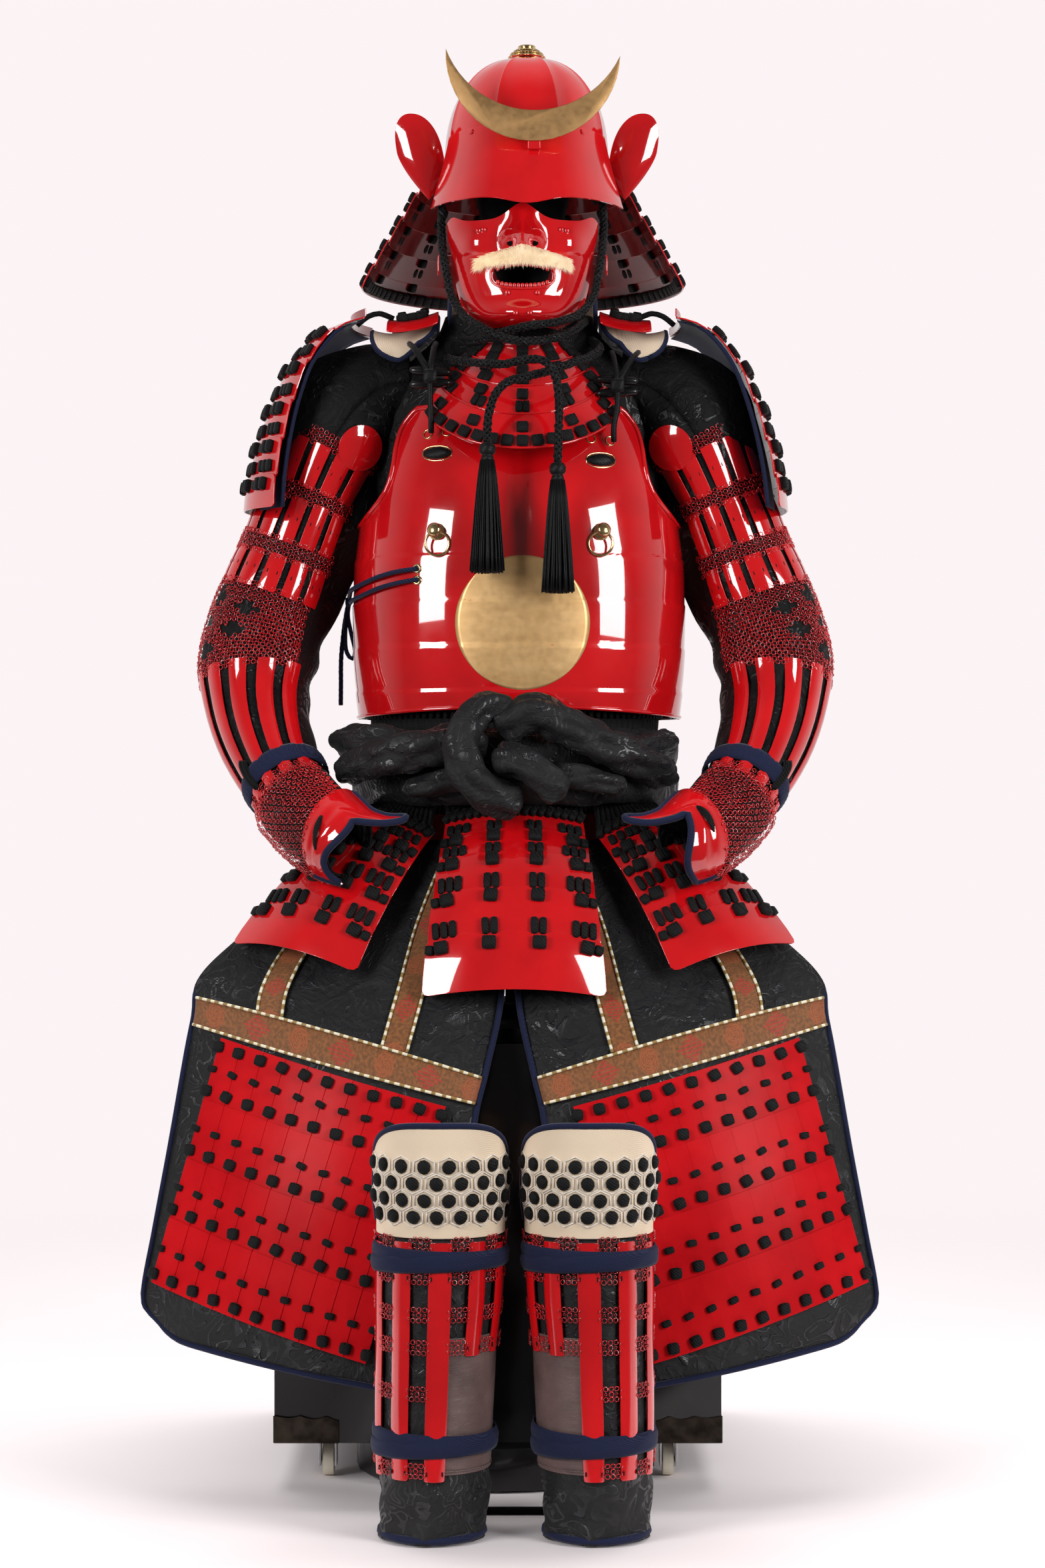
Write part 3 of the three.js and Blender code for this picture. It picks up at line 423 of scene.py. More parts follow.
def twisted_gold():
    """Two-ply twist of gold and cream thread; UV runs along the cord and once round it."""
    material, tree, shader = new_finish("gold_cream_twist", (0.7, 0.6, 0.36), 0.45, Sheen_Weight=0.2)
    cloth = node(tree, "TexCoord")
    slant = node(tree, "Mapping", {"Rotation": (0, 0, 0.9), "Scale": (1, 0.006, 1)})
    wire(tree, cloth, "UV", slant, "Vector")
    ply = node(tree, "TexWave", {"Scale": 44.0})
    wire(tree, slant, "Vector", ply, "Vector")
    tint(tree, shader, ply, "Fac", (0.32, 0.2, 0.055), (0.86, 0.8, 0.6), 0.35, 0.6)
    raise_grain(tree, shader, ply, "Fac", 0.4, 0.0008)
    return material


def hide():
    """Brown glove leather: pebbled cells with fine creases between them."""
    material, tree, shader = new_finish("brown_leather", (0.11, 0.068, 0.062), 0.48)
    cells = node(tree, "TexVoronoi", {"Scale": 520.0}, feature="DISTANCE_TO_EDGE")
    wire(tree, node(tree, "TexCoord"), "Object", cells, "Vector")
    tint(tree, shader, grain(tree, 26, 4), "Fac", (0.085, 0.052, 0.048), (0.15, 0.095, 0.088))
    vary_gloss(tree, shader, grain(tree, 60, 3), "Fac", 0.38, 0.58)
    pebbles = raise_grain(tree, shader, cells, "Distance", 0.5, 0.0006)
    raise_grain(tree, shader, grain(tree, 45, 3, stretch=(1, 1, 3)), "Fac", 0.35, 0.003, pebbles)
    return material


def soft_hair():
    """Pale fur with a painted glow: a faint emission brightens the hair where it lies in shade under the nose
    and brow, in place of light scattered through real hair.
    """
    material, tree, shader = new_finish("cream_fur_hair", (1.0, 0.87, 0.64), 0.9, Sheen_Weight=0.4,
                                        Emission_Strength=0.2)
    # The emission colour and strength below are the painted glow.
    shader.inputs["Emission Color"].default_value = (1.0, 0.88, 0.7, 1)
    tint(tree, shader, grain(tree, 120, 2), "Fac", (0.86, 0.73, 0.54), (1.0, 0.92, 0.75))
    return material


def leaf_gold():
    """Gold leaf on the lacquer: rubbed thin in streaks, with a fine grain."""
    material, tree, shader = new_finish("gold_leaf", (0.8, 0.5, 0.22), 0.4, Metallic=0.6)
    rubbed = grain(tree, 22, 4, 0.55, stretch=(1, 1, 3))
    tint(tree, shader, rubbed, "Fac", (0.72, 0.43, 0.175), (0.86, 0.55, 0.25))
    vary_gloss(tree, shader, grain(tree, 120, 3), "Fac", 0.36, 0.48)
    raise_grain(tree, shader, grain(tree, 300, 3), "Fac", 0.1, 0.0003)
    return material


# ---------------- workbench


def steps(count, low=0.0, high=1.0):
    return [mix(low, high, i / count) for i in range(count + 1)]


def row_at(v, count, low, high):
    """Places across a surface, v of the way down it."""
    return [(u, v) for u in steps(count, low, high)]


def column_at(u, count, low, high):
    """Places down a surface, u of the way across it."""
    return [(u, v) for v in steps(count, low, high)]


def thinned(marks):
    """The same run of marks with fewer of them, and both ends kept."""
    last = len(marks) - 1
    count = max(min(last, 6), round(last * GRID_SHARE))
    found = []
    for k in range(count + 1):
        place = k * last / count
        below = min(int(place), last - 1)
        found.append(mix(marks[below], marks[below + 1], place - below))
    return found


def hung(surface, shift=0.0):
    """A surface in the figure's millimetres, as one in metres in the set's frame."""
    return lambda u, v: at(*(surface(u, v) + Vector((shift, 0, 0))))


def mirrored(surface, s):
    """A left-hand surface, or its mirror image; u runs from left to right, seen from outside, on both."""

    def flipped(u, v):
        p = surface(paired(u, s), v)
        return Vector((p.x * -s, p.y, p.z))

    return flipped


def outward(surface, u, v):
    e = 0.006
    across = surface(u + e, v) - surface(u - e, v)
    down = surface(u, min(1, v + e)) - surface(u, max(0, v - e))
    return down.cross(across).normalized()


def lay(bm, surface, across, down, lift=0.0, warp=None, cloth=(1, 1), finish=0):
    """A grid of faces over surface(u, v), raised by lift millimetres.

    warp moves the grid's own places first. cloth is the sheet's flat size in metres, for its UV map.
    """
    across, down = thinned(across), thinned(down)
    made = bmesh.ops.create_grid(bm, x_segments=len(across) - 1, y_segments=len(down) - 1, size=0.5)
    map_layer = bm.loops.layers.uv.verify()
    flat = {}
    for vert in made["verts"]:
        i = round((vert.co.x + 0.5) * (len(across) - 1))
        j = round((0.5 - vert.co.y) * (len(down) - 1))
        u, v = across[i], down[j]
        flat[vert] = (u * cloth[0], (1 - v) * cloth[1])
        if warp:
            u, v = warp(u, v)
        raised = lift(u, v) if callable(lift) else lift
        vert.co = surface(u, v)
        if raised:
            vert.co += outward(surface, u, v) * (raised * MM)
    for face in {f for vert in made["verts"] for f in vert.link_faces}:
        face.material_index = finish
        for loop in face.loops:
            loop[map_layer].uv = flat[loop.vert]
    return made["verts"]


def facing(surface, u, v, lift=0.0, turn=0.0):
    """A frame that lies on a surface: X across, Y up and Z outwards, turned about Z."""
    e = 0.006
    z = outward(surface, u, v)
    x = (surface(u + e, v) - surface(u - e, v)).normalized()
    y = z.cross(x)
    frame_here = Matrix((x, y, z)).transposed().to_4x4()
    frame_here.translation = surface(u, v) + z * (lift * MM)
    return frame_here @ Matrix.Rotation(turn, 4, "Z")


def close_seams(bm, reach=1e-6):
    """Makes one point of points that lie within reach of each other, in metres."""
    bmesh.ops.remove_doubles(bm, verts=bm.verts[:], dist=reach)


def piece(name, bm, finishes, stands_for=None, body="armour", slot=None, wall=0.0, bevel=0.0, soften=0,
          weld=False):
    """Turns a bmesh into a named piece with its finishes, wall, eased edges and body; the slot is found but
    not given to the piece.

    The first finish is the outside. With a wall, the last one is the inside.
    """
    if weld:
        close_seams(bm, 1e-5)
        bmesh.ops.recalc_face_normals(bm, faces=bm.faces[:])
    mesh = template(name, bm)
    mesh.polygons.foreach_set("use_smooth", [True] * len(mesh.polygons))
    made = placed(name, mesh)
    for finish in finishes:
        mesh.materials.append(finish)
    if wall:
        shell = made.modifiers.new("wall", "SOLIDIFY")
        shell.thickness, shell.offset, shell.material_offset = wall * MM, -1, len(finishes) - 1
    if bevel:
        ease = made.modifiers.new("eased_edges", "BEVEL")
        ease.width, ease.segments, ease.harden_normals = bevel * MM, 2, True
        ease.limit_method, ease.angle_limit = "ANGLE", 40 * DEGREE
    if soften:
        smooth = made.modifiers.new("soften", "SUBSURF")
        smooth.levels = smooth.render_levels = soften
    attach(made, body)
    slot or SLOT_OF[finishes[0].name]
    if stands_for:
        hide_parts(stands_for)
    return made


def template(name, bm):
    """Ends a bmesh as a plain mesh."""
    mesh = bpy.data.meshes.new(name)
    bm.to_mesh(mesh)
    bm.free()
    return mesh


def stamp(bm, shape, places):
    """Adds one copy of a small shape at each place."""
    for place in places:
        copy = shape.copy()
        copy.transform(place)
        bm.from_mesh(copy)
        bpy.data.meshes.remove(copy)


def knot_shape(name, wide, tall, thick, pinch=0.0, cuts=2):
    """A plump knot or loop of cord lying in the XY plane, in millimetres; pinch draws its four sides in."""
    bm = bmesh.new()
    bmesh.ops.create_cube(bm, size=1)
    bmesh.ops.subdivide_edges(bm, edges=bm.edges[:], cuts=cuts, use_grid_fill=True)
    for _ in range(2):
        bmesh.ops.smooth_vert(bm, verts=bm.verts[:], factor=0.5, use_axis_x=True, use_axis_y=True,
                              use_axis_z=True)
    for vert in bm.verts:
        x, y = vert.co.xy
        vert.co.x = x * (1 - pinch * (1 - min(1, abs(y) * 2)))
        vert.co.y = y * (1 - pinch * (1 - min(1, abs(x) * 2)))
    reach = max(vert.co.x for vert in bm.verts) * 2
    bmesh.ops.scale(bm, vec=(wide * MM / reach, tall * MM / reach, thick * MM / reach), verts=bm.verts[:])
    return template(name, bm)


def tuft_shape(name, wide, tall, thick):
    """A rounded tuft of silk, a little uneven, in millimetres."""
    bm = bmesh.new()
    bmesh.ops.create_icosphere(bm, subdivisions=2, radius=0.5 * MM)
    for vert in bm.verts:
        vert.co *= 1 + 0.07 * sin(9 * vert.co.x / MM + 4) * cos(11 * vert.co.y / MM)
    bmesh.ops.scale(bm, vec=(wide, tall, thick), verts=bm.verts[:])
    return template(name, bm)


def ring_shape(name, radius, wire_radius, around, sides):
    bm = bmesh.new()
    made = bmesh.ops.create_circle(bm, segments=sides, radius=wire_radius * MM)
    bmesh.ops.rotate(bm, cent=(0, 0, 0), matrix=Matrix.Rotation(pi / 2, 3, "X"), verts=made["verts"])
    bmesh.ops.translate(bm, vec=(radius * MM, 0, 0), verts=made["verts"])
    bmesh.ops.spin(bm, geom=bm.edges[:] + bm.verts[:], cent=(0, 0, 0), axis=(0, 0, 1), angle=2 * pi,
                   steps=around, use_merge=True)
    bmesh.ops.recalc_face_normals(bm, faces=bm.faces[:])
    return template(name, bm)


def turned(bm, profile, around=32, place=Matrix()):
    """Spins [radius, height] pairs in millimetres about Z, then moves the turned shape into place."""
    made = [bm.verts.new((r * MM, 0, z * MM)) for r, z in profile]
    edges = [bm.edges.new(pair) for pair in zip(made, made[1:])]
    spun = bmesh.ops.spin(bm, geom=made + edges, cent=(0, 0, 0), axis=(0, 0, 1), angle=2 * pi, steps=around,
                          use_merge=True)
    ends = {g for g in spun["geom_last"] if isinstance(g, bmesh.types.BMVert)}
    faces, edge = set(), {v for v in made if v.is_valid} | ends
    while edge:
        grown = {f for v in edge for f in v.link_faces} - faces
        faces |= grown
        edge = {v for f in grown for v in f.verts}
    verts = list({v for f in faces for v in f.verts})
    bmesh.ops.transform(bm, matrix=place, verts=verts)
    return verts


def run_along(line):
    """How far along a line each of its points lies."""
    run = [0.0]
    for a, b in zip(line, line[1:]):
        run.append(run[-1] + (b - a).length)
    return run


def route(points, spacing):
    """Points a few millimetres apart on a smooth curve through the given ones, all in millimetres."""
    held = [Vector(p) for p in points]
    held = [held[0] * 2 - held[1]] + held + [held[-1] * 2 - held[-2]]
    fine = [smooth(*four, k / 24) for four in zip(held, held[1:], held[2:], held[3:]) for k in range(24)]
    fine.append(held[-2].copy())
    run = run_along(fine)
    count = max(2, round(run[-1] / spacing))
    spaced, i = [], 0
    for k in range(count + 1):
        want = run[-1] * k / count
        while i < len(run) - 2 and run[i + 1] < want:
            i += 1
        spaced.append(fine[i].lerp(fine[i + 1], clamp((want - run[i]) / max(1e-9, run[i + 1] - run[i]))))
    return spaced


def cord_surface(line, radius):
    """A tube's surface over a line of points in millimetres: u runs round it, v along it.

    The radius may be a function of the turn round the line and the run along it.
    """
    ways = [(line[min(i + 1, len(line) - 1)] - line[max(i - 1, 0)]).normalized() for i in range(len(line))]
    side = ways[0].orthogonal().normalized()
    frames = []
    for way in ways:
        side = (side - way * side.dot(way)).normalized()
        frames.append((side.copy(), way.cross(side)))
    run = run_along(line)

    def surface(u, v):
        i = round(v * (len(line) - 1))
        a = u * 2 * pi
        r = radius(a, run[i]) if callable(radius) else radius
        right, up = frames[i]
        return at(*(line[i] + right * (r * cos(a)) - up * (r * sin(a))))

    return surface, run[-1]


def remap(bm, verts, change):
    """Changes the flat map of the faces round these verts."""
    layer = bm.loops.layers.uv.verify()
    for face in {f for v in verts for f in v.link_faces}:
        for loop in face.loops:
            loop[layer].uv = change(*loop[layer].uv)


def tube(bm, line, radius, sides=8, finish=0, ends=True):
    """A cord or bead along a line; its UV runs in metres along the cord and once round it."""
    surface, length = cord_surface(line, radius)
    flat = (2 * pi * (radius if not callable(radius) else 5) * MM, length * MM)
    verts = lay(bm, surface, steps(sides), steps(len(line) - 1), cloth=flat, finish=finish)
    remap(bm, verts, lambda x, y: (y, x))
    merged = bmesh.ops.find_doubles(bm, verts=verts, dist=1e-7)
    bmesh.ops.weld_verts(bm, targetmap=merged["targetmap"])
    if ends:
        rim = [e for v in verts if v.is_valid for e in v.link_edges if e.is_boundary]
        bmesh.ops.holes_fill(bm, edges=list(set(rim)), sides=0)


def bind_edge(bm, surface, path, radius, lift=0.0, spacing=3.0, sides=8, finish=0):
    """A bead or binding along (u, v) points on a surface in metres."""
    points = [surface(u, v) + outward(surface, u, v) * (lift * MM) for u, v in path]
    line = route([in_figure(p) for p in points], spacing)
    tube(bm, line, radius, sides, finish)


def refinished(name, old, finish, bevel, body="armour"):
    """A piece with the shape of the node that it replaces, in its finish and with eased edges."""
    bm = bmesh.new()
    bm.from_mesh(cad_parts[old].data)
    close_seams(bm)
    piece(name, bm, [finish], old, body, bevel=bevel)


RED = lacquer("red_lacquer_gloss", (0.53, 0.003, 0.006), (0.67, 0.006, 0.009))
RED_INSIDE = lacquer("red_brown_inside", (0.2, 0.011, 0.011), (0.3, 0.017, 0.016), 0.24, 0.05, 0.5, 0.06,
                     0.08)
RED_SATIN = lacquer("red_lacquer_satin", (0.5, 0.004, 0.008), (0.62, 0.008, 0.012), 0.5, 0.03, 0.04, 0.25,
                    0.03)
BLACK_BOX = lacquer("black_box_lacquer", (0.0035, 0.003, 0.0035), (0.007, 0.006, 0.007), 0.34, 0.02, 0.3,
                    0.12, 0.15)
MATT_BLACK = lacquer("matt_black_paint", (0.002, 0.002, 0.002), (0.004, 0.004, 0.004), 0.8, 0.0, 0.0, 0.2,
                     0.08)
BLACK_CORD = woven("black_silk_cord", (0.002, 0.002, 0.0022), (0.009, 0.009, 0.01), 0.0011, 0.7, 0.04, 0.7)
BLACK_BRAID = woven("black_braid", (0.002, 0.002, 0.0023), (0.008, 0.008, 0.0095), 0.0008, 0.42, 0.05, 0.6)
NAVY = woven("navy_cotton_binding", (0.006, 0.009, 0.032), (0.014, 0.019, 0.055), 0.0007, 0.85, 0.1, 0.4)
NAVY_BRAID = woven("navy_braid", (0.005, 0.008, 0.03), (0.018, 0.024, 0.07), 0.0016, 0.75, 0.1, 0.7)
TWILL = woven("cream_twill", (0.74, 0.59, 0.43), (0.86, 0.71, 0.54), 0.0006, 0.9, 0.15, 0.35)
FUR = soft_hair()
DAMASK = damask("black_damask", 0.46, (0.0025, 0.0025, 0.003), (0.014, 0.014, 0.017))
# A darker copy of the black damask for the sleeves, yoke and glove cloth: its darker ground and leaves are
# painted shade, and its glint is weaker.
SHADED_SLEEVE_DAMASK = damask("sleeve_damask_painted_shade", 0.25, (0.0018, 0.0018, 0.0021), (0.006, 0.006, 0.0072))
BROCADE = fabric_band()
GOLD_TWIST = twisted_gold()
LEATHER = hide()
GOLD_LEAF = leaf_gold()
GILT = metal("gilt_brass_polished", (0.62, 0.44, 0.2), (0.84, 0.66, 0.36), 0.2)
DULL_BRASS = metal("dull_brass_sheet", (0.47, 0.275, 0.115), (0.52, 0.31, 0.135), 0.5, 500, (1, 1, 9))
BRONZE = metal("old_bronze_fittings", (0.02, 0.016, 0.013), (0.06, 0.048, 0.038), 0.46, 260)
STEEL = metal("plated_steel", (0.42, 0.42, 0.43), (0.62, 0.62, 0.63), 0.25)
LINKS = lacquer("lacquered_iron_links", (0.42, 0.004, 0.008), (0.72, 0.01, 0.016), 0.2, 0.02)
NYLON = plain_paint("cream_nylon", (0.78, 0.72, 0.58), 0.42, 0.1)
THREAD = plain_paint("white_silk_thread", (0.85, 0.8, 0.74), 0.6)
PLATE_FINISH = [RED, RED_INSIDE]
SLOTS = {
    "red_lacquer": (RED, RED_SATIN, LINKS),
    "black_lacquer": (BLACK_BOX, MATT_BLACK),
    "black_silk": (BLACK_CORD, BLACK_BRAID),
    "navy_cotton": (NAVY, NAVY_BRAID),
    "cream_cotton": (TWILL, THREAD, GOLD_TWIST),
    "cream_fur": (FUR,),
    "black_brocade": (DAMASK, SHADED_SLEEVE_DAMASK, BROCADE, LEATHER),
    "gilt_brass": (GILT, GOLD_LEAF, BRONZE),
    "dull_brass": (DULL_BRASS,),
    "steel": (STEEL,),
    "cream_plastic": (NYLON,),
}
SLOT_OF = {finish.name: slot for slot, group in SLOTS.items() for finish in group}

BIG_KNOT = knot_shape("big_square_knot", 15.5, 15, 8.5, 0.1)
THROAT_KNOT = knot_shape("throat_square_knot", 13.5, 13, 7, 0.1)
SMALL_KNOT = knot_shape("small_round_knot", 10.5, 11, 7)
OVAL_KNOT = knot_shape("oval_knot", 11, 7.5, 5.5)
LOOP = knot_shape("upright_loop", 8.2, 20, 6)
SHORT_LOOP = knot_shape("short_upright_loop", 8.2, 14, 6)
SLANT_KNOT = knot_shape("slanting_edge_knot", 8.5, 15, 8)
SODE_KNOT = knot_shape("paired_knot", 8.8, 15, 9)
BIG_TUFT = knot_shape("big_square_tuft", 13, 12.6, 8, -0.04)
KNEE_TUFT = tuft_shape("round_knee_tuft", 15.2, 14.6, 8)
EYELET_BRAID = tuft_shape("eyelet_braid", 35, 15.5, 8)
STITCH = knot_shape("short_stitch", 1.5, 5.2, 1.4, cuts=1)
LINK = ring_shape("mail_link", 2.6, 0.62, 6, 3)
TIE_LINK = ring_shape("upright_mail_link", 1.4, 0.42, 5, 3)


# ---------------- helmet

HELMET = {"x": 5, "rim": 1488, "height": 124, "half": 95.5, "front": 112, "back": 118, "power": 2.3,
          "hole": 14}
SEAMS = [22.5 + 45 * k for k in range(8)]


def bowl_surface(u, v):
    a = u * 2 * pi
    top = math.acos((HELMET["hole"] / HELMET["front"]) ** (HELMET["power"] / 2))
    rise = mix(top, 0, v)
    r, h = cos(rise) ** (2 / HELMET["power"]), sin(rise) ** (2 / HELMET["power"])
    depth = mix(HELMET["back"], HELMET["front"], (1 + cos(a)) / 2)
    return Vector((HELMET["x"] + HELMET["half"] * r * sin(a), -depth * r * cos(a),
                   HELMET["rim"] + HELMET["height"] * h))


def brow_surface(u, v):
    side = mix(-1, 1, u)
    a = side * mix(66, 70, v) * DEGREE
    low = 1430 - 9 * bump(side, 0.22)
    return Vector((HELMET["x"] + mix(98, 118, v**1.2) * sin(a), -mix(121, 152, v) * cos(a),
                   mix(1517 - 4 * side * side, low, v)))


def rounded_square(u, v):
    """Spreads a square grid over a round one: both run from -1 to 1, right and up."""
    a, b = mix(-1, 1, u), mix(1, -1, v)
    return a * sqrt(1 - b * b / 2), b * sqrt(1 - a * a / 2)


def ear_surface(u, v):
    """A leaf with a broad round top and a narrow foot, bellied forward."""
    x, y = rounded_square(u, v)
    rounding = (1 - y**2.6) ** 0.4545 if y > 0 else (1 - abs(y) ** 1.5) ** 0.9
    half = 27.5 * max(0, rounding) / sqrt(max(1e-4, 1 - y * y))
    belly = 8 * (1 - x * x - y * y)
    return Vector((-122.5 + x * half - 8.5 * y, -30 - belly - 4 * y, 1494 + 49 * y - 4 * x))


def neck_guard_surface(u, v):
    a = mix(-97, 97, u) * DEGREE
    return Vector((-mix(106, 179, v) * sin(a), mix(124, 196, v) * cos(a), mix(1484, 1341, v)))


def helmet_bowl():
    turns = []
    for seam in SEAMS:
        turns += [seam + d for d in (-1.3, -0.55, -0.2, 0.2, 0.55, 1.3, 7, 14, 22.5, 31, 38)]
    across = [t / 360 for t in sorted(turns)]
    across.append(across[0] + 1)

    def seam_ridge(u, v):
        here = bowl_surface(u, v)
        reach = math.hypot(here.x - HELMET["x"], here.y)
        gap = min(abs((u * 360 - seam + 180) % 360 - 180) for seam in SEAMS) * DEGREE * reach
        band = 1.0 if here.z < HELMET["rim"] + 11 else 0.0
        return max(1.1 * bump(gap, 1.1), band)

    bm = bmesh.new()
    lay(bm, hung(bowl_surface), across, steps(30, 0, 0.965) + [0.972, 0.98, 1.0], seam_ridge)
    close_seams(bm)
    piece("lacquered_bowl", bm, PLATE_FINISH, "helmet_bowl", wall=PLATE, bevel=0.5)

    bm = bmesh.new()
    top = HELMET["rim"] + HELMET["height"] + 0.8
    tiers = [(4.5, 11), (5, 15), (9.5, 15), (10.4, 13.4), (9.4, 11.8), (9.4, 10.6), (13.6, 10.2), (15.4, 8.8),
             (14, 7.2), (17.4, 6.8), (19.2, 5.2), (17.6, 3.8), (20.4, 2.8), (21.4, 1.4), (20.4, 0), (4.5, 0),
             (4.5, 11)]
    for vert in turned(bm, tiers, 64):
        r = math.hypot(vert.co.x, vert.co.y) / MM
        if r > 15:
            petal = 1 + 0.035 * cos(20 * math.atan2(vert.co.y, vert.co.x))
            vert.co.x *= petal
            vert.co.y *= petal
    bmesh.ops.translate(bm, vec=at(HELMET["x"], 0, top), verts=bm.verts[:])
    piece("crown_finial", bm, [GILT], "helmet_finial", bevel=0.3, weld=True)


def helmet_front():
    surface = hung(brow_surface)
    bm = bmesh.new()
    lay(bm, surface, steps(60), steps(18))
    dome = knot_shape("rivet_dome", 6, 6, 3)
    stamp(bm, dome, [facing(surface, u, 0.06, 0.2) for u in (0.2, 0.36, 0.64, 0.8)])
    piece("brow_peak", bm, PLATE_FINISH, "brow_plate", wall=PLATE, bevel=0.5)

    bm = bmesh.new()
    for place, size in (((13, -133, 1489), (0.014, 0.013, 0.012)), ((13, -136, 1497), (0.009, 0.004, 0.016))):
        bmesh.ops.create_cube(bm, size=1, matrix=Matrix.LocRotScale(at(*place), None, Vector(size)))
    piece("crest_socket", bm, [RED], bevel=0.9)

    refinished("brass_crescent", "crescent", DULL_BRASS, 0.5)
    for word, s in SIDES:
        surface = hung(mirrored(ear_surface, s), HELMET["x"])
        bm = bmesh.new()
        lay(bm, surface, steps(30), steps(40))
        piece("turned_back_ear_" + word, bm, [RED], "ear_" + word, wall=PLATE, bevel=0.6)


def rounded_rows(height, corner, count=5):
    """Row places down a lame, close together at its rounded corners."""
    r = corner / height
    near = [0, 0.08 * r, 0.3 * r, 0.62 * r, r]
    return near + steps(count, r, 1 - r)[1:-1] + [1 - t for t in reversed(near)]


def lame(bm, surface, top, foot, lift, width, height, corner, columns=28, rows=5, span=(0.0, 1.0), bulge=0.8,
         arch=0.0):
    """One lame with rounded corners, a slight belly down it and an arch across it.

    top and foot are places down the surface; width, height and corner are in millimetres.
    """

    def ease(u, t):
        near = min(t, 1 - t) * height
        inset = corner - sqrt(max(0, corner**2 - (corner - near) ** 2)) if near < corner else 0
        squeeze = 1 - 2 * inset / width
        return mix(span[0], span[1], 0.5 + (u - 0.5) * squeeze), mix(top, foot, t)

    def belly(u, v):
        out = 2 * (u - span[0]) / (span[1] - span[0]) - 1
        return lift + bulge * sin(pi * clamp((v - top) / (foot - top))) + arch * (1 - out * out)

    sideways = corner / width
    across = [0, sideways * 0.3] + steps(columns, sideways, 1 - sideways) + [1 - sideways * 0.3, 1]
    return lay(bm, surface, across, rounded_rows(height, corner, rows), belly, ease)


def helmet_neck_guard():
    surface = hung(neck_guard_surface)
    plates, cords = bmesh.new(), bmesh.new()
    count = 5
    knots, loops, smalls = [], [], []
    for k in range(count):
        top, foot = k / count, min(1, (k + 1.12) / count)
        width = mix(400, 620, k / 4)
        lame(plates, surface, top, foot, k * LAP_STEP, width, 33, 5, 60, 3)
        bind_edge(cords, surface, [(t, foot - 0.004) for t in steps(40, 0.01, 0.99)], 1.1, k * LAP_STEP - 0.4,
                  6, 6, 1)
        lift = k * LAP_STEP + 2
        for u in (0.018, 0.982):
            knots.append(facing(surface, u, top + 0.05, lift, jitter(0.15)))
            if k < count - 1:
                smalls.append(facing(surface, u, top + 0.13, lift, jitter(0.2)))
        for u in steps(6, 0.12, 0.88):
            knots.append(facing(surface, u, top + 0.055, lift, jitter(0.1)))
            smalls.append(facing(surface, u, top + 0.055, lift - 4.5, jitter(0.1)))
            if k < count - 1:
                loops += [facing(surface, u + d, top + 0.145, lift - 0.5) for d in (-0.008, 0.008)]
    foot_lift = 4 * LAP_STEP + 1.2
    for lift in (foot_lift, foot_lift - 5):
        knots += [facing(surface, u, 0.945, lift, jitter(0.12)) for u in steps(46, 0.02, 0.98)]
    piece("neck_guard_lames", plates, PLATE_FINISH, "neck_guard", wall=1.6, bevel=0.4)
    stamp(cords, THROAT_KNOT, knots)
    stamp(cords, SMALL_KNOT, smalls)
    stamp(cords, SHORT_LOOP, loops)
    piece("neck_guard_lacing", cords, [BLACK_CORD, RED])


# ---------------- face mask and throat guard

MASK_HALF_WIDTHS = [(1430, 86), (1400, 86), (1365, 80), (1320, 71), (1298, 57), (1288, 42)]
MOUTH = {"z": 1345, "half_width": 34, "half_height": 13.5}
HAIRS = 6500


def mask_half(z):
    return between(MASK_HALF_WIDTHS, z)[1]


def mask_forward(x, z):
    rounding = sqrt(max(0, 1 - (x / (mask_half(z) * 1.06)) ** 2))
    chin = 14 * bump(z - 1300, 16) - 22 * bump(z - 1282, 10)
    nose = 26 * bump(x, 13) * bump(z - 1382, 17) + 12 * bump(x, 10) * bump(z - 1408, 22)
    cheek = 6 * bump(abs(x) - 55, 20) * bump(z - 1385, 18)
    return 40 + 74 * rounding**0.8 + (chin + nose) * bump(x, 60) + cheek


def mask_relief(x, z):
    """The hammered detail: nostril wings, cheek ledge, creases beside the mouth and a chin dimple."""
    side = abs(x)
    wings = 7 * bump(side - 17, 6) * bump(z - 1384, 9) - 7 * bump(side - 12.5, 4.2) * bump(z - 1380, 4)
    ledge = 4.5 * clamp((z - 1368) / 5) * bump(side - 62, 22) * bump(z - 1376, 16)
    crease = 0.0
    for radius, depth in ((46, 0.32), (54, 0.2)):
        away = math.hypot(side - 2, (z - 1352) * 0.95) - radius
        crease -= depth * bump(away, 2.2) * clamp((1364 - z) / 12) * clamp((z - 1312) / 12)
        crease += depth * 0.8 * bump(away - 4, 2.6) * clamp((1364 - z) / 12) * clamp((z - 1312) / 12)
    lip = 1.1 * bump(math.hypot(x / 42, (z - MOUTH["z"]) / 20) - 1, 0.26)
    dimple = -1.8 * bump(x, 18) * bump(z - 1316, 9) + 3 * bump(x, 26) * bump(z - 1303, 10)
    fold = -3 * bump(side - 30, 5) * bump(z - 1389, 12) * 0.7
    return wings + ledge + crease + lip + dimple + fold


def upper_lip(x):
    """The height of the middle of the moustache."""
    return 1368 - 9 * (x / 53) ** 2


def mask_surface(u, v):
    side = mix(-1, 1, u)
    nominal = 86 * side
    top = 1408 + 18 * bump(nominal, 15) + 7 * bump(abs(nominal) - 70, 14)
    z = mix(top, 1288, v)
    x = mask_half(z) * sin(side * 80 * DEGREE) / sin(80 * DEGREE)
    return Vector((x, -mask_forward(x, z) - mask_relief(x, z) * bump(x, 95), z))


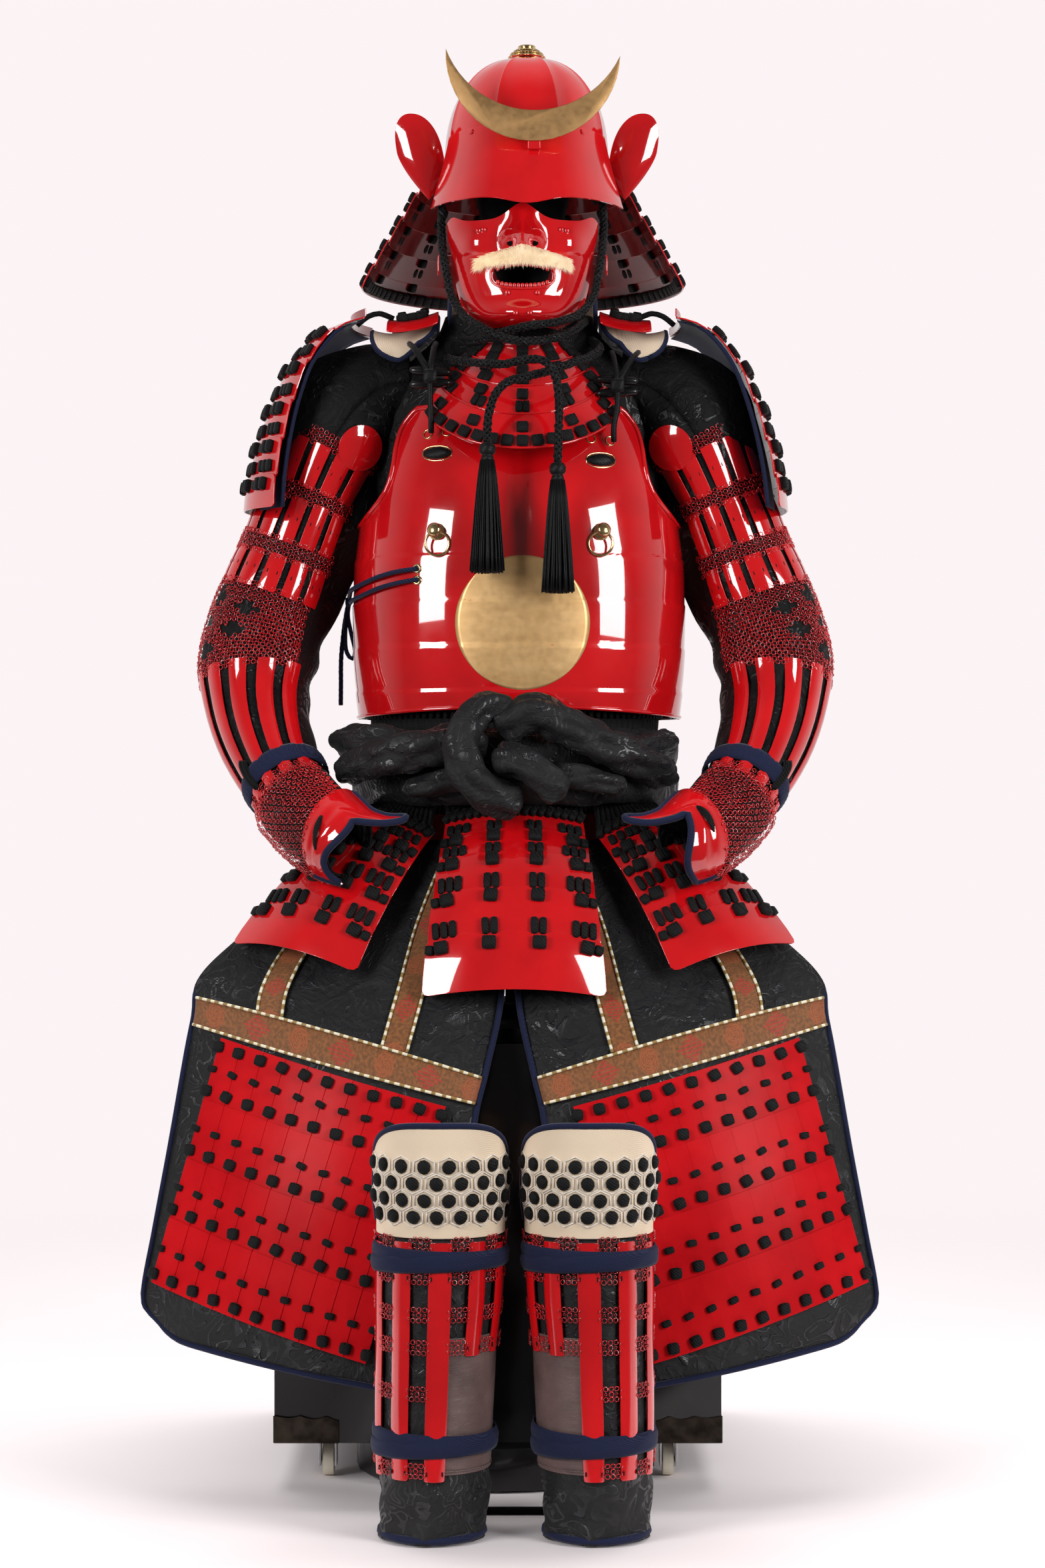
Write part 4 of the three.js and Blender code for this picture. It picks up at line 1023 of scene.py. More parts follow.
def face_mask():
    surface = hung(mask_surface)
    bm = bmesh.new()
    lay(bm, surface, steps(110), steps(84))
    middle = at(0, 0, MOUTH["z"])

    def mouth_share(co):
        across = abs(co.x - middle.x) / (MOUTH["half_width"] * MM)
        up = abs(co.z - middle.z) / (MOUTH["half_height"] * MM)
        return (across**2.6 + up**2.6) ** (1 / 2.6)

    inside = [f for f in bm.faces if mouth_share(f.calc_center_median()) < 1]
    bmesh.ops.delete(bm, geom=inside, context="FACES")
    for vert in bm.verts:
        if vert.is_boundary and mouth_share(vert.co) < 1.4:
            share = mouth_share(vert.co)
            vert.co.x = middle.x + (vert.co.x - middle.x) / share
            vert.co.z = middle.z + (vert.co.z - middle.z) / share
    piece("face_mask", bm, PLATE_FINISH, "mask", wall=1.8, bevel=0.4)

    bm = bmesh.new()

    def on_face(x, z, lift):
        return Vector((x, -mask_forward(x, z) - mask_relief(x, z) - lift, z))

    def round_mouth(a, more):
        x = math.copysign(abs(cos(a)) ** 0.77, cos(a)) * (MOUTH["half_width"] + more)
        return x, MOUTH["z"] + math.copysign(abs(sin(a)) ** 0.77, sin(a)) * (MOUTH["half_height"] + more)

    lip = [on_face(*round_mouth(a, 2.2), 0.4) for a in steps(60, 0, 2 * pi)]
    tube(bm, lip, 1.5, 8, ends=False)
    tooth = knot_shape("tooth", 4.0, 5.6, 4)
    teeth = []
    for way in (1, -1):
        for x in steps(12, -28, 28):
            opening = (1 - (abs(x) / MOUTH["half_width"]) ** 2.6) ** (1 / 2.6)
            z = MOUTH["z"] + way * MOUTH["half_height"] * opening
            teeth.append(Matrix.Translation(at(x, -mask_forward(x, z) + 0.2, z - way * 1.6)) @ STANDING)
    stamp(bm, tooth, teeth)
    stud = knot_shape("mask_stud", 5.5, 5.5, 5)
    studs = [(44, 1397), (50, 1396), (-44, 1397), (-50, 1396), (-8, 1300), (8, 1300), (-17, 1325), (17, 1325)]
    stamp(bm, stud, [Matrix.Translation(at(*on_face(x, z, 0.2))) @ STANDING for x, z in studs])
    for s in (-1, 1):
        hook = [(s * 74, -62, 1374), (s * 84, -66, 1376), (s * 94, -66, 1375), (s * 96, -66, 1371),
                (s * 96, -65, 1352)]
        tube(bm, route(hook, 3), 1.5)
        wing = ((11, 1396), (18, 1397), (25, 1391), (27, 1382), (23, 1374))
        tube(bm, route([on_face(s * x, z, 0.1) for x, z in wing], 2), 1.2)
    piece("mask_fittings", bm, [RED])

    bm = bmesh.new()
    for s in (-1, 1):
        hole = bmesh.ops.create_uvsphere(bm, u_segments=16, v_segments=10, radius=5.6 * MM)["verts"]
        bmesh.ops.scale(bm, vec=(1, 0.6, 0.85), verts=hole)
        bmesh.ops.translate(bm, vec=at(*on_face(s * 12.5, 1381, -1.2)), verts=hole)
    piece("nostril_shadows", bm, [MATT_BLACK], slot="red_lacquer")

    bm = bmesh.new()
    for _ in range(HAIRS):
        x = dice.uniform(-53, 53)
        z = upper_lip(x) + jitter(8.5) * sqrt(max(0.5, 1 - (x / 62) ** 2))
        root = on_face(x, z, 0.5)
        lean = Vector((0.5 * x / 52 + jitter(0.35), -0.8 + jitter(0.2), -0.45 + jitter(0.4))).normalized()
        length = dice.uniform(7, 13)
        across = lean.orthogonal().normalized() * 0.32
        tip = root + lean * length + Vector((0, 0, -1.5))
        middle_of = root + lean * length * 0.55
        lock = (root - across, root + across, middle_of + across * 0.7, tip, middle_of - across * 0.7)
        bm.faces.new([bm.verts.new(at(*p)) for p in lock])
    pad = [on_face(x, upper_lip(x), 1.5) for x in steps(26, -52, 52)]
    tube(bm, pad, lambda _, run: 4.6 * sqrt(clamp(min(run, 118 - run) / 12 + 0.2)), 10)
    piece("fur_moustache", bm, [FUR], "moustache")


THROAT = [(1268, 56, 104, 56, 0.2), (1244, 70, 116, 66, 0.35), (1216, 84, 132, 65, 0.5),
          (1182, 102, 148, 62, 0.65), (1142, 124, 162, 59, 0.72)]


def throat_surface(u, v):
    zc, w, d, reach, rise = along(THROAT, v)
    a = mix(-reach, reach, u) * DEGREE
    forward = d * cos(a) ** 0.7
    return Vector((w * sin(a), -forward, zc + rise * (d - forward)))


def throat_guard():
    surface = hung(throat_surface)
    plates, cords = bmesh.new(), bmesh.new()
    knots, loops = [], []
    for k in range(4):
        top, foot = k / 4, min(1, (k + 1.12) / 4)
        lift = k * LAP_STEP
        lame(plates, surface, top, foot, lift, mix(120, 230, k / 3), 36, 7, 44, 5)
        bind_edge(cords, surface, [(t, top + 0.006) for t in steps(30, 0.03, 0.97)], 1.3, lift + 0.4, 5, 6, 1)
        sides = (0.075, 0.27, 0.5, 0.73, 0.925)
        for u in sides:
            knots.append(facing(surface, u, top + 0.095, lift + 2.6, jitter(0.12)))
            if k < 3:
                loops += [facing(surface, u + d, top + 0.195, lift + 2.2) for d in (-0.018, 0.018)]
    knots += [facing(surface, u, 0.935, 3 * LAP_STEP + 2.6, jitter(0.14)) for u in steps(14, 0.04, 0.96)]
    bind_edge(cords, surface, row_at(0.996, 40, 0.02, 0.98), 1.4, 3 * LAP_STEP, 5, 6, 1)
    piece("throat_guard_lames", plates, PLATE_FINISH, "throat_guard", wall=1.8, bevel=0.4)
    stamp(cords, THROAT_KNOT, knots)
    stamp(cords, SHORT_LOOP, loops)
    piece("throat_guard_lacing", cords, [BLACK_CORD, RED])


# ---------------- helmet cords

CORD_WIDTH = 11.5
CORD_ROUTES = {
    "left": [
        (-92, -52, 1440), (-93, -60, 1410), (-91, -76, 1380), (-86, -86, 1350), (-80, -96, 1322),
        (-66, -114, 1299), (-52, -134, 1287), (-34, -147, 1275), (-8, -152, 1266), (26, -142, 1268),
        (54, -112, 1280), (68, -70, 1296), (70, -20, 1304), (52, 24, 1306), (10, 48, 1302),
        (-34, 40, 1290), (-60, 8, 1274), (-80, -36, 1262), (-84, -84, 1254), (-70, -126, 1246),
        (-46, -158, 1240), (-22, -174, 1237), (0, -184, 1240), (20, -191, 1240), (34, -193, 1228),
        (40, -190, 1200), (40, -187, 1160), (39, -184, 1128)],
    "right": [
        (92, -52, 1440), (93, -60, 1410), (91, -76, 1380), (86, -86, 1350), (80, -98, 1322),
        (64, -124, 1300), (40, -146, 1288), (8, -151, 1283), (-18, -136, 1279), (-38, -112, 1275),
        (-56, -86, 1275), (-68, -60, 1280), (-72, -24, 1292), (-58, 34, 1305), (-12, 68, 1308),
        (42, 66, 1300), (76, 20, 1290), (80, -36, 1281), (88, -84, 1266), (78, -126, 1252),
        (56, -156, 1241), (30, -172, 1230), (6, -178, 1223), (-16, -187, 1216), (-30, -191, 1202),
        (-37, -189, 1182), (-39, -186, 1165), (-39, -184, 1150)],
}


def in_figure(place):
    """A place in the set's metres, back in the figure's millimetres."""
    return Vector((place.x / MM - FIGURE_SIDE, place.y / MM - FIGURE_BACK, place.z / MM))


STRANDS = 4  # each way round the braided cord
STRAND_SHARE = 0.29  # a strand's radius beside the whole cord's
WEAVE_SHARE = 0.11  # how far a strand rises and dips as it passes over and under


def braid(bm, line, radius, pitch):
    """A round braid over a core: as many strands each way, passing over and under each other in turn."""
    tube(bm, line, radius * 0.55)
    for way in (-1, 1):
        def woven_reach(_, run):
            dip = way * WEAVE_SHARE * cos(2 * pi * STRANDS * run / pitch)
            return radius * (1 - STRAND_SHARE - WEAVE_SHARE + dip)

        wrap, length = cord_surface(line, woven_reach)
        turns = way * length / pitch
        for k in range(STRANDS):
            strand = [in_figure(wrap(k / STRANDS + turns * t, t)) for t in steps(len(line) - 1)]
            tube(bm, strand, radius * STRAND_SHARE, 4)


def braid_radius(radius, strands, pitch):
    """A round braid: strands of two slants that pass over and under each other."""

    def here(a, run):
        p, q = a * strands / (2 * pi), run / pitch
        one, two = p + q, p - q
        f, g = one % 1, two % 1
        if (math.floor(one) + math.floor(two)) % 2:
            f, g = g, f
        over = max(0.0, sin(pi * f)) ** 0.6 * (0.45 + 0.55 * sin(pi * g))
        return radius * (0.86 + 0.2 * over)

    return here


TASSEL_THREADS = 190
SUNFLOWER_TURN = 2.39996  # the turn between threads that spreads them evenly over a round


def tassel(word, x, y, top):
    bm = bmesh.new()
    place = Matrix.Translation(at(x, y, top - 0.4))
    knob = [(0, 0), (4, -0.3), (7.6, -2.4), (9.2, -6), (9.3, -10), (8, -13.6), (5.6, -15), (6.6, -16),
            (7.4, -19), (6.4, -21), (7.4, -22), (7.6, -25), (6.6, -27), (0, -27)]
    turned(bm, knob, 24, place)
    for k in range(TASSEL_THREADS):
        a = k * SUNFLOWER_TURN
        share = sqrt((k + 0.5) / TASSEL_THREADS)
        wander, spread = jitter(0.12), 0.93 + jitter(0.05)
        r0, r1 = 7.6 * share, 20.2 * share * spread
        length = 147 - 2.5 * dice.random() - 1.5 * share
        line = []
        for t in steps(6):
            r, turn = mix(r0, r1, t**0.75), a + wander * t
            line.append(Vector((x + r * cos(turn), y + r * sin(turn), top - 0.4 - mix(20, length, t))))
        tube(bm, line, 0.95, 4)
    return piece("black_tassel_" + word, bm, [BLACK_BRAID], "tassel_" + word)


def helmet_cords():
    for word, far in (("left", "right"), ("right", "left")):
        line = route(CORD_ROUTES[word], 1.9)
        bm = bmesh.new()
        braid(bm, line, CORD_WIDTH / 2, 27.0)
        cord = piece("braided_cord_" + word, bm, [BLACK_BRAID], "chin_cord_" + word)
        skirt = tassel(far, *CORD_ROUTES[word][-1])
        [at(*p) for p in route(CORD_ROUTES[word], 8)]


# ---------------- cuirass

CUIRASS = [
    (846, 182, 141, 126, 182), (900, 188, 149, 131, 188), (970, 191, 153, 136, 191),
    (1028, 190, 153, 139, 190), (1062, 186, 149, 140, 186), (1080, 184, 146, 140, 169),
    (1103, 181, 141, 140, 151), (1128, 175, 135, 138, 143), (1156, 166, 127, 136, 139),
    (1180, 156, 119, 133, 131), (1198, 148, 112, 130, 116), (1232, 136, 100, 120, 92)]
FRONT, BACK = 2, 3
LAPS = (1028, 977, 926, 876)
RING_X, RING_Z, RING_RADIUS = 91.5, 1053, 13.5  # the chest rings hang from posts at this place on both sides


def cuirass_depth(x, z, reach):
    row = between(CUIRASS, z)
    return row[reach] * max(1e-4, 1 - min(1, abs(x) / row[1]) ** 2.4) ** (1 / 2.4)


def breast_top(x):
    return 1198 if abs(x) > 96 else 1150 + 48 * (abs(x) / 96) ** 2.6


def laps_at(z):
    return sum(0.55 - 0.55 * math.tanh((z - lap) / 0.8) for lap in LAPS)


def breast_surface(u, v):
    side = sin(mix(-1, 1, u) * 89.6 * DEGREE)
    z = mix(breast_top(side * 120), CUIRASS[0][0] + 10 * (1 - side * side), v)
    x = side * between(CUIRASS, z)[4]
    return Vector((x, -cuirass_depth(x, z, FRONT), z))


def back_surface(u, v):
    side = sin(mix(1, -1, u) * 89.6 * DEGREE)
    z = mix(1232 - 26 * bump(side * 92, 60), CUIRASS[0][0], v)
    x = side * between(CUIRASS, z)[4]
    return Vector((x, cuirass_depth(x, z, BACK), z))


def on_breast(x, z, lift=0.0):
    """A frame on the breastplate at a place seen from the front, Z outwards."""
    here = Vector((x, -cuirass_depth(x, z, FRONT), z))
    right = Vector((x + 1, -cuirass_depth(x + 1, z, FRONT), z)) - here
    above = Vector((x, -cuirass_depth(x, z + 1, FRONT), z + 1)) - here
    out = right.cross(above).normalized()
    right.normalize()
    frame_here = Matrix((right, out.cross(right), out)).transposed().to_4x4()
    frame_here.translation = at(*(here + out * (lift + laps_at(z)))) + Vector((OFFSET["cuirass"] * MM, 0, 0))
    return frame_here


def cuirass_plates():
    def muscle(u, v):
        p = breast_surface(u, v)
        depth = clamp((p.z - 1005) / 60)
        crease = 4.5 * bump(p.x, 8) * depth + 2.5 * bump(p.x, 26) * depth
        chest = 2.5 * bump(abs(p.x) - 62, 44) * bump(p.z - 1080, 46)
        return laps_at(p.z) + chest - crease

    bm = bmesh.new()
    surface = hung(breast_surface, OFFSET["cuirass"])
    lay(bm, surface, steps(104), steps(214), muscle)
    piece("breastplate", bm, PLATE_FINISH, "breast_plate", wall=PLATE, bevel=0.5)

    trim = bmesh.new()
    side = steps(14, 0.375, 0.0)
    edge = [(0.006, v) for v in side] + row_at(0.0, 50, 0.01, 0.99)
    edge += [(0.994, v) for v in side[::-1]]
    bind_edge(trim, surface, edge, 3.0, 0.6, 5)
    bind_edge(trim, surface, row_at(0.995, 50, 0.01, 0.99), 2.4, 4.4, 6)
    bm = bmesh.new()
    back = hung(back_surface, OFFSET["cuirass"])
    lay(bm, back, steps(66), steps(160), lambda u, v: laps_at(back_surface(u, v).z))
    piece("backplate", bm, PLATE_FINISH, "back_plate", wall=PLATE, bevel=0.5)
    edge = column_at(0.008, 14, 0.42, 0.0) + row_at(0.002, 40, 0.012, 0.988)
    edge += column_at(0.992, 14, 0.0, 0.42)
    bind_edge(trim, back, edge, 3.0, 0.6, 5)
    bind_edge(trim, back, row_at(0.995, 50, 0.01, 0.99), 2.4, 4.4, 6)
    piece("cuirass_rolled_edges", trim, [RED])

    # The plain disc of gold leaf on the belly.
    def disc(u, v):
        x, y = rounded_square(u, v)
        return on_breast(75 * x + 4, 951 + 75 * y, 0.25).translation

    bm = bmesh.new()
    lay(bm, disc, steps(44), steps(90))
    piece("gold_leaf_disc", bm, [GOLD_LEAF], wall=0.2)

    metalwork, cords = bmesh.new(), bmesh.new()
    for s in (-1, 1):
        low = 0 if s < 0 else -8
        for x, z in ((s * 103, 1166 + low), (s * 81, 1168 + low)):
            turned(metalwork, [(4.6, 0.2), (4.8, 1.0), (5.4, 1.3), (6.0, 0.9), (6.2, 0)], 24,
                   on_breast(x, z, 0.2))
        rim = []
        for a in steps(36, 0, 2 * pi):
            x, z = s * 92 + 18.5 * cos(a) * (1 - 0.12 * cos(2 * a)), 1143 + low + 8.5 * sin(a)
            rim.append(in_figure(on_breast(x, z, 0.8).translation))
        tube(metalwork, rim, 0.8, 8, ends=False)
        stamp(cords, EYELET_BRAID, [on_breast(s * 92, 1143 + low, 1.5)])
    post = [(0, 15.6), (4.6, 15.2), (7.6, 13.4), (8.2, 11.6), (7.8, 10.8), (6.2, 9.6), (4.2, 7.6), (3.8, 3.4),
            (6.4, 2.2), (9.4, 1.4), (10, 0), (0, 0)]
    for x in (-RING_X, RING_X):
        turned(metalwork, post, 32, on_breast(x, RING_Z, 0.4))
    for z in (1012, 999):
        turned(metalwork, [(2.6, 0.2), (3, 1.4), (4.4, 1.7), (5.6, 0)], 20, on_breast(-114, z, 0.2))
    piece("cuirass_eyelets_and_posts", metalwork, [GILT])

    for s in (-1, 1):
        low = 0 if s < 0 else -10
        middle = s * 104 + (3 if s > 0 else 0)
        toggle = [(0, -24), (2.6, -23.4), (4.4, -20), (5.6, -8), (4.6, 0), (5.6, 8), (4.4, 20), (2.6, 23.4),
                  (0, 24)]
        for z, tip in ((1236, 3), (1222, -3)):
            lying = Matrix.Rotation((90 + tip) * DEGREE, 4, "Y")
            verts = turned(cords, toggle, 16, Matrix.Translation(at(middle, -116, z + low)) @ lying)
            for face in {f for v in verts for f in v.link_faces}:
                face.material_index = 1
        for x in (-25, 5):
            tube(cords, route([(middle - s * x, -78, 1272 + low), (middle - s * x * 0.7, -104, 1262 + low),
                               (middle - s * x * 0.2, -122, 1240 + low), (middle, -123, 1222 + low)], 3), 3.4)
        tube(cords, route([(middle, -122, 1232 + low), (middle, -126, 1206 + low),
                           (s * 103, -126, 1184 + low), (s * 103, -121, 1166 + low)], 3), 3.4)
        stamp(cords, BIG_KNOT, [Matrix.Translation(at(middle, -126, 1229 + low)) @ STANDING])
    piece("shoulder_toggles_and_cords", cords, [BLACK_BRAID, BLACK_BOX], weld=True)


PAD = [(96, 1258, 34), (56, 1282, 37), (14, 1294, 39), (-30, 1284, 39), (-62, 1256, 36)]


def pad_surface(s):
    def surface(u, v):
        y, z, half = along(PAD, v)
        half *= sqrt(1 - max(0.0, (v - 0.76) / 0.27) ** 2)
        inward = s * mix(1, -1, u)
        return Vector((s * 132 + mix(half, -half, u), y, z + 10 * inward * inward - 9 * inward))

    return surface


def strap_surface(s):
    """The lacquered strap over each shoulder, from the backplate to the toggles."""
    line = [(128, 1212, 26), (112, 1262, 27), (62, 1300, 28), (10, 1308, 29), (-36, 1302, 30),
            (-66, 1288, 30)]

    def surface(u, v):
        y, z, half = along(line, v)
        across = s * mix(1, -1, u)
        return Vector((s * 122 + mix(-half, half, u), y, z + 3 * across * across + 5 * across))

    return surface


def collar_surface(u, v):
    a = mix(-104, 104, u) * DEGREE
    return Vector((-mix(87, 88, v) * sin(a), mix(104, 102, v) * cos(a) - 2, mix(1334 + 8 * cos(a), 1298, v)))


def shoulders():
    for word, s in SIDES:
        surface = hung(pad_surface(s), OFFSET["cuirass"])
        bm = bmesh.new()
        lay(bm, surface, steps(18), steps(34), lambda u, v: 1.6 * sin(pi * u) * (1 + 0.3 * sin(34 * v)),
            cloth=(0.08, 0.18))
        pad = piece("shoulder_pad_cloth_" + word, bm, [DAMASK, TWILL], "shoulder_pad_" + word, wall=4,
                    bevel=1.2, soften=1)
        bm = bmesh.new()
        loop = row_at(1.0, 10, 0.02, 0.98) + column_at(0.99, 18, 0.98, 0.02)
        loop += row_at(0.0, 10, 0.98, 0.02)
        loop += column_at(0.01, 18, 0.02, 0.98) + [(0.02, 1.0)]
        bind_edge(bm, surface, loop, 3.0, -1.6, 4)
        piece("shoulder_pad_binding_" + word, bm, [NAVY])
        strap = hung(strap_surface(s), OFFSET["cuirass"])
        bm = bmesh.new()
        lame(bm, strap, 0.0, 1.0, 2, 58, 250, 9, 16, 40, bulge=1.5)
        piece("shoulder_strap_" + word, bm, PLATE_FINISH, wall=1.8, bevel=0.5)
        bm = bmesh.new()
        stamp(bm, BIG_KNOT, [facing(strap, 0.5 + 0.16 * k, 0.78, 6, 0.5 * k) for k in (-1, 0, 1)])
        for k in range(7):
            a = k * 2 * pi / 7
            petal = Matrix.Translation((0.014 * cos(a), 0.014 * sin(a), 0.003 * cos(2 * a)))
            stamp(bm, SMALL_KNOT, [facing(strap, 0.5, 0.6, 8) @ petal])
        piece("shoulder_rosette_" + word, bm, [BLACK_CORD])

    surface = hung(collar_surface)
    bm = bmesh.new()
    lay(bm, surface, steps(60), steps(8), cloth=(0.33, 0.04))
    collar = piece("standing_collar", bm, [NAVY, TWILL], "collar", wall=4, bevel=1.4)


# ---------------- side cord

SIDE_CORD_ROUTE = [
    (-118, -139, 1012), (-142, -129, 1009), (-164, -109, 1004), (-182, -80, 998), (-196, -48, 993),
    (-200, -14, 990), (-202, 10, 984), (-205, 22, 974), (-208, 26, 958), (-210, 22, 940), (-212, 18, 915),
    (-212, 14, 885), (-212, 10, 862)]


def side_cord():
    line = route(SIDE_CORD_ROUTE, 1.6)
    bm = bmesh.new()
    tube(bm, line, braid_radius(2.75, 3, 4.2), 12)
    cord = piece("navy_side_cord", bm, [NAVY_BRAID], "side_cord")
    length = run_along(line)[-1] * MM
    bm = bmesh.new()
    tube(bm, route([(-117, -139, 1000), (-142, -129, 996), (-164, -109, 991), (-182, -82, 985),
                    (-195, -50, 981), (-199, -16, 980), (-200, 4, 982)], 2), 2.6)
    tube(bm, route([(-202, 8, 982), (-204, 18, 966), (-200, 24, 944), (-196, 22, 926), (-199, 18, 916),
                    (-206, 18, 926), (-207, 20, 950), (-204, 14, 978)], 2), 2.6)
    stamp(bm, SMALL_KNOT, [Matrix.Translation(at(-203, 8, 982)) @ Matrix.Rotation(pi / 2, 4, "Y")])
    bow = piece("navy_side_bow", bm, [NAVY_BRAID])
    [at(*p) for p in route(SIDE_CORD_ROUTE, 6)]


def chest_rings():
    y = -cuirass_depth(RING_X, RING_Z, FRONT) - 8
    for word, s in SIDES:
        bm = bmesh.new()
        place = at(s * RING_X + OFFSET["cuirass"], y, RING_Z - RING_RADIUS)
        ring = ring_shape("chest_ring_round_" + word, RING_RADIUS, 1.6, 40, 10)
        stamp(bm, ring, [Matrix.Translation(place) @ STANDING])
        piece("gilt_ring_" + word, bm, [GILT], "chest_ring_" + word, "ring_" + word)


# ---------------- waist

def lacing_surface(u, v):
    a = u * 2 * pi
    return Vector((mix(165, 160, v) * sin(a), -mix(126, 124, v) * cos(a) - 4, mix(851, 752, v)))


def waist_lacing():
    surface = hung(lacing_surface, OFFSET["skirt"])
    cords = 112
    bm = bmesh.new()

    def ribbed(u, v):
        return 3.2 * abs(sin(pi * cords * u)) ** 0.7 + 0.8 * sin(40 * u + 5 * v)

    lay(bm, surface, steps(cords * 6), [0, 0.04, 0.12, 0.35, 0.65, 0.88, 0.96, 1], ribbed)
    close_seams(bm)
    piece("hanging_waist_cords", bm, [BLACK_CORD], "waist_lacing", wall=3)
    bm = bmesh.new()
    tops = [facing(surface, (k + 0.5) / cords, 0.02, 4) for k in range(cords)]
    stamp(bm, knot_shape("cord_head", 6, 9, 6), tops)
    piece("waist_cord_heads", bm, [BLACK_CORD])


ROLLS = [
    # radius at each end, route: back ends, main bands, crossing knot and tucked ends
    (17, 19, [(-198, -78, 818), (-180, -110, 818), (-150, -138, 816), (-118, -150, 808)]),
    (17, 22, [(-194, -118, 782), (-176, -140, 790), (-140, -170, 800), (-100, -184, 810), (-60, -186, 816),
              (-30, -182, 822)]),
    (9, 15, [(-124, -172, 764), (-96, -182, 768), (-66, -184, 776), (-40, -178, 784)]),
    (16, 20, [(-4, -186, 852), (-30, -198, 856), (-52, -206, 838), (-60, -212, 812), (-54, -214, 788),
              (-38, -212, 768), (-16, -206, 754), (8, -198, 748)]),
    (22, 19, [(-20, -188, 832), (4, -194, 844), (30, -194, 848), (58, -190, 832), (92, -182, 816),
              (126, -166, 802), (154, -142, 790), (172, -112, 778)]),
    (19, 17, [(-22, -194, 796), (0, -206, 796), (22, -212, 786), (40, -212, 770), (54, -206, 756)]),
    (14, 12, [(40, -188, 780), (70, -188, 778), (98, -180, 772), (124, -166, 766)]),
    (14, 15, [(112, -150, 806), (138, -134, 811), (160, -112, 815), (176, -86, 818)]),
]


def sash():
    bm = bmesh.new()

    def turn_surface(z, phase):
        def surface(u, v):
            a, b = u * 2 * pi, v * 2 * pi
            fullness = max(0, cos(a)) ** 1.5
            depth = mix(150, 160, (1 + cos(a)) / 2)
            crease = 0.84 + 0.2 * abs(sin(3.5 * a + b + phase)) + 0.13 * abs(sin(8.5 * a - 1.5 * b))
            thick = mix(9.5, 20, fullness) * crease
            out = Vector((sin(a), -cos(a), 0))
            middle = Vector((180 * sin(a), -depth * cos(a), z))
            return middle + out * (thick * cos(b)) + Vector((0, 0, -22 * crease * sin(b)))

        return hung(surface, OFFSET["skirt"])

    for z, phase in ((808, 0.0), (770, 2.0)):
        lay(bm, turn_surface(z, phase), steps(260), steps(30), cloth=(1.1, 0.14))
    close_seams(bm)
    for n, (r0, r1, points) in enumerate(ROLLS):
        line = [p + Vector((OFFSET["skirt"], 0, 0)) for p in route(points, 3.2)]
        total = run_along(line)[-1]

        def rolled(a, run):
            t = run / total
            closing = sqrt(clamp(min(t, 1 - t) * total / 9 + 0.06))
            lengthways = 0.27 * (abs(sin(1.5 * a + run / 55 + n)) - 0.62)
            slanting = 0.2 * (abs(sin(2.5 * a - run / 24 + 2 * n)) - 0.62)
            pinches = 0.11 * (abs(sin(run / 13 + 1.2 * sin(2 * a + n) + n)) - 0.62)
            fine = 0.045 * sin(run / 4.5 + 3 * sin(a + n)) * sin(3 * a + n)
            return mix(r0, r1, sin(pi * t * 0.5)) * closing * (1 + lengthways + slanting + pinches + fine)

        tube(bm, line, rolled, 60)
    made = piece("damask_sash", bm, [DAMASK], "sash")


# ---------------- skirt

TASSETS = {
    "front": ((0, -150, 745), (0, -268, 546), (1, 0, 0), 76, 98, 20, 20),
    "front_left": ((-137, -124, 738), (-247, -212, 586), (0.86, -0.48, -0.16), 50, 79, 20, 12),
    "side_left": ((-186, 42, 744), (-216, 46, 540), (0, -1, 0), 62, 80, 14, 4),
    "back_left": ((-92, 142, 746), (-104, 176, 540), (-0.93, -0.36, 0), 62, 76, 10, 4),
}
LAME_TOPS = [0.0, 0.153, 0.3, 0.5, 0.735, 1.0]


def tasset_surface(top, foot, way, half_top, half_foot, curve, belly):
    T, F, W = Vector(top), Vector(foot), Vector(way).normalized()
    out = (F - T).cross(W).normalized()

    def surface(u, v):
        side = mix(-1, 1, u)
        middle = T.lerp(F, v) + out * (belly * 4 * v * (1 - v))
        return middle + W * (side * mix(half_top, half_foot, v)) - out * (curve * side * side)

    return surface


def tasset(name, surface, half_top, half_foot, tall):
    plates, cords = bmesh.new(), bmesh.new()
    knots, smalls, loops, shorts = [], [], [], []
    for k in range(5):
        top, foot = LAME_TOPS[k], LAME_TOPS[k + 1] + (0.05 if k < 4 else 0)
        lift, width = k * LAP_STEP, 2 * mix(half_top, half_foot, top)
        height = (foot - top) * tall
        lame(plates, surface, top, foot, lift, width, height, 8, 26, 4, bulge=1.0)
        step = (LAME_TOPS[k + 1] - top) * tall
        face = lift + 3

        def below(drop):
            return top + drop / tall

        for s in (-1, 1):
            corner = 0.5 + s * (0.5 - 17 / width)
            if k:
                knots.append(facing(surface, corner, below(13), face, jitter(0.12)))
                smalls.append(facing(surface, corner + s * 11.5 / width, below(14), face - 0.5, jitter(0.2)))
                knots.append(facing(surface, 0.5 + s * 0.14, below(12), face, jitter(0.12)))
            if k < 4:
                shapes, rise = (loops, 7) if step > 36 else (shorts, 5)
                spots = [corner + d / width for d in (-8.5, 0, 8.5)]
                spots += [0.5 + s * 0.14 + d / width for d in (-4.4, 4.4)]
                shapes.extend(facing(surface, u, below(step - rise), face - 0.6, jitter(0.05)) for u in spots)
    count = round(2 * half_top / 8.6)
    edge = [facing(surface, (j + 0.5) / count, 9.5 / tall, 3.6, -0.55) for j in range(count)]
    piece(name + "_lames", plates, PLATE_FINISH, name, wall=1.8, bevel=0.45)
    stamp(cords, BIG_KNOT, knots)
    stamp(cords, SMALL_KNOT, smalls)
    stamp(cords, LOOP, loops)
    stamp(cords, SHORT_LOOP, shorts)
    stamp(cords, SLANT_KNOT, edge)
    piece(name + "_lacing", cords, [BLACK_CORD])


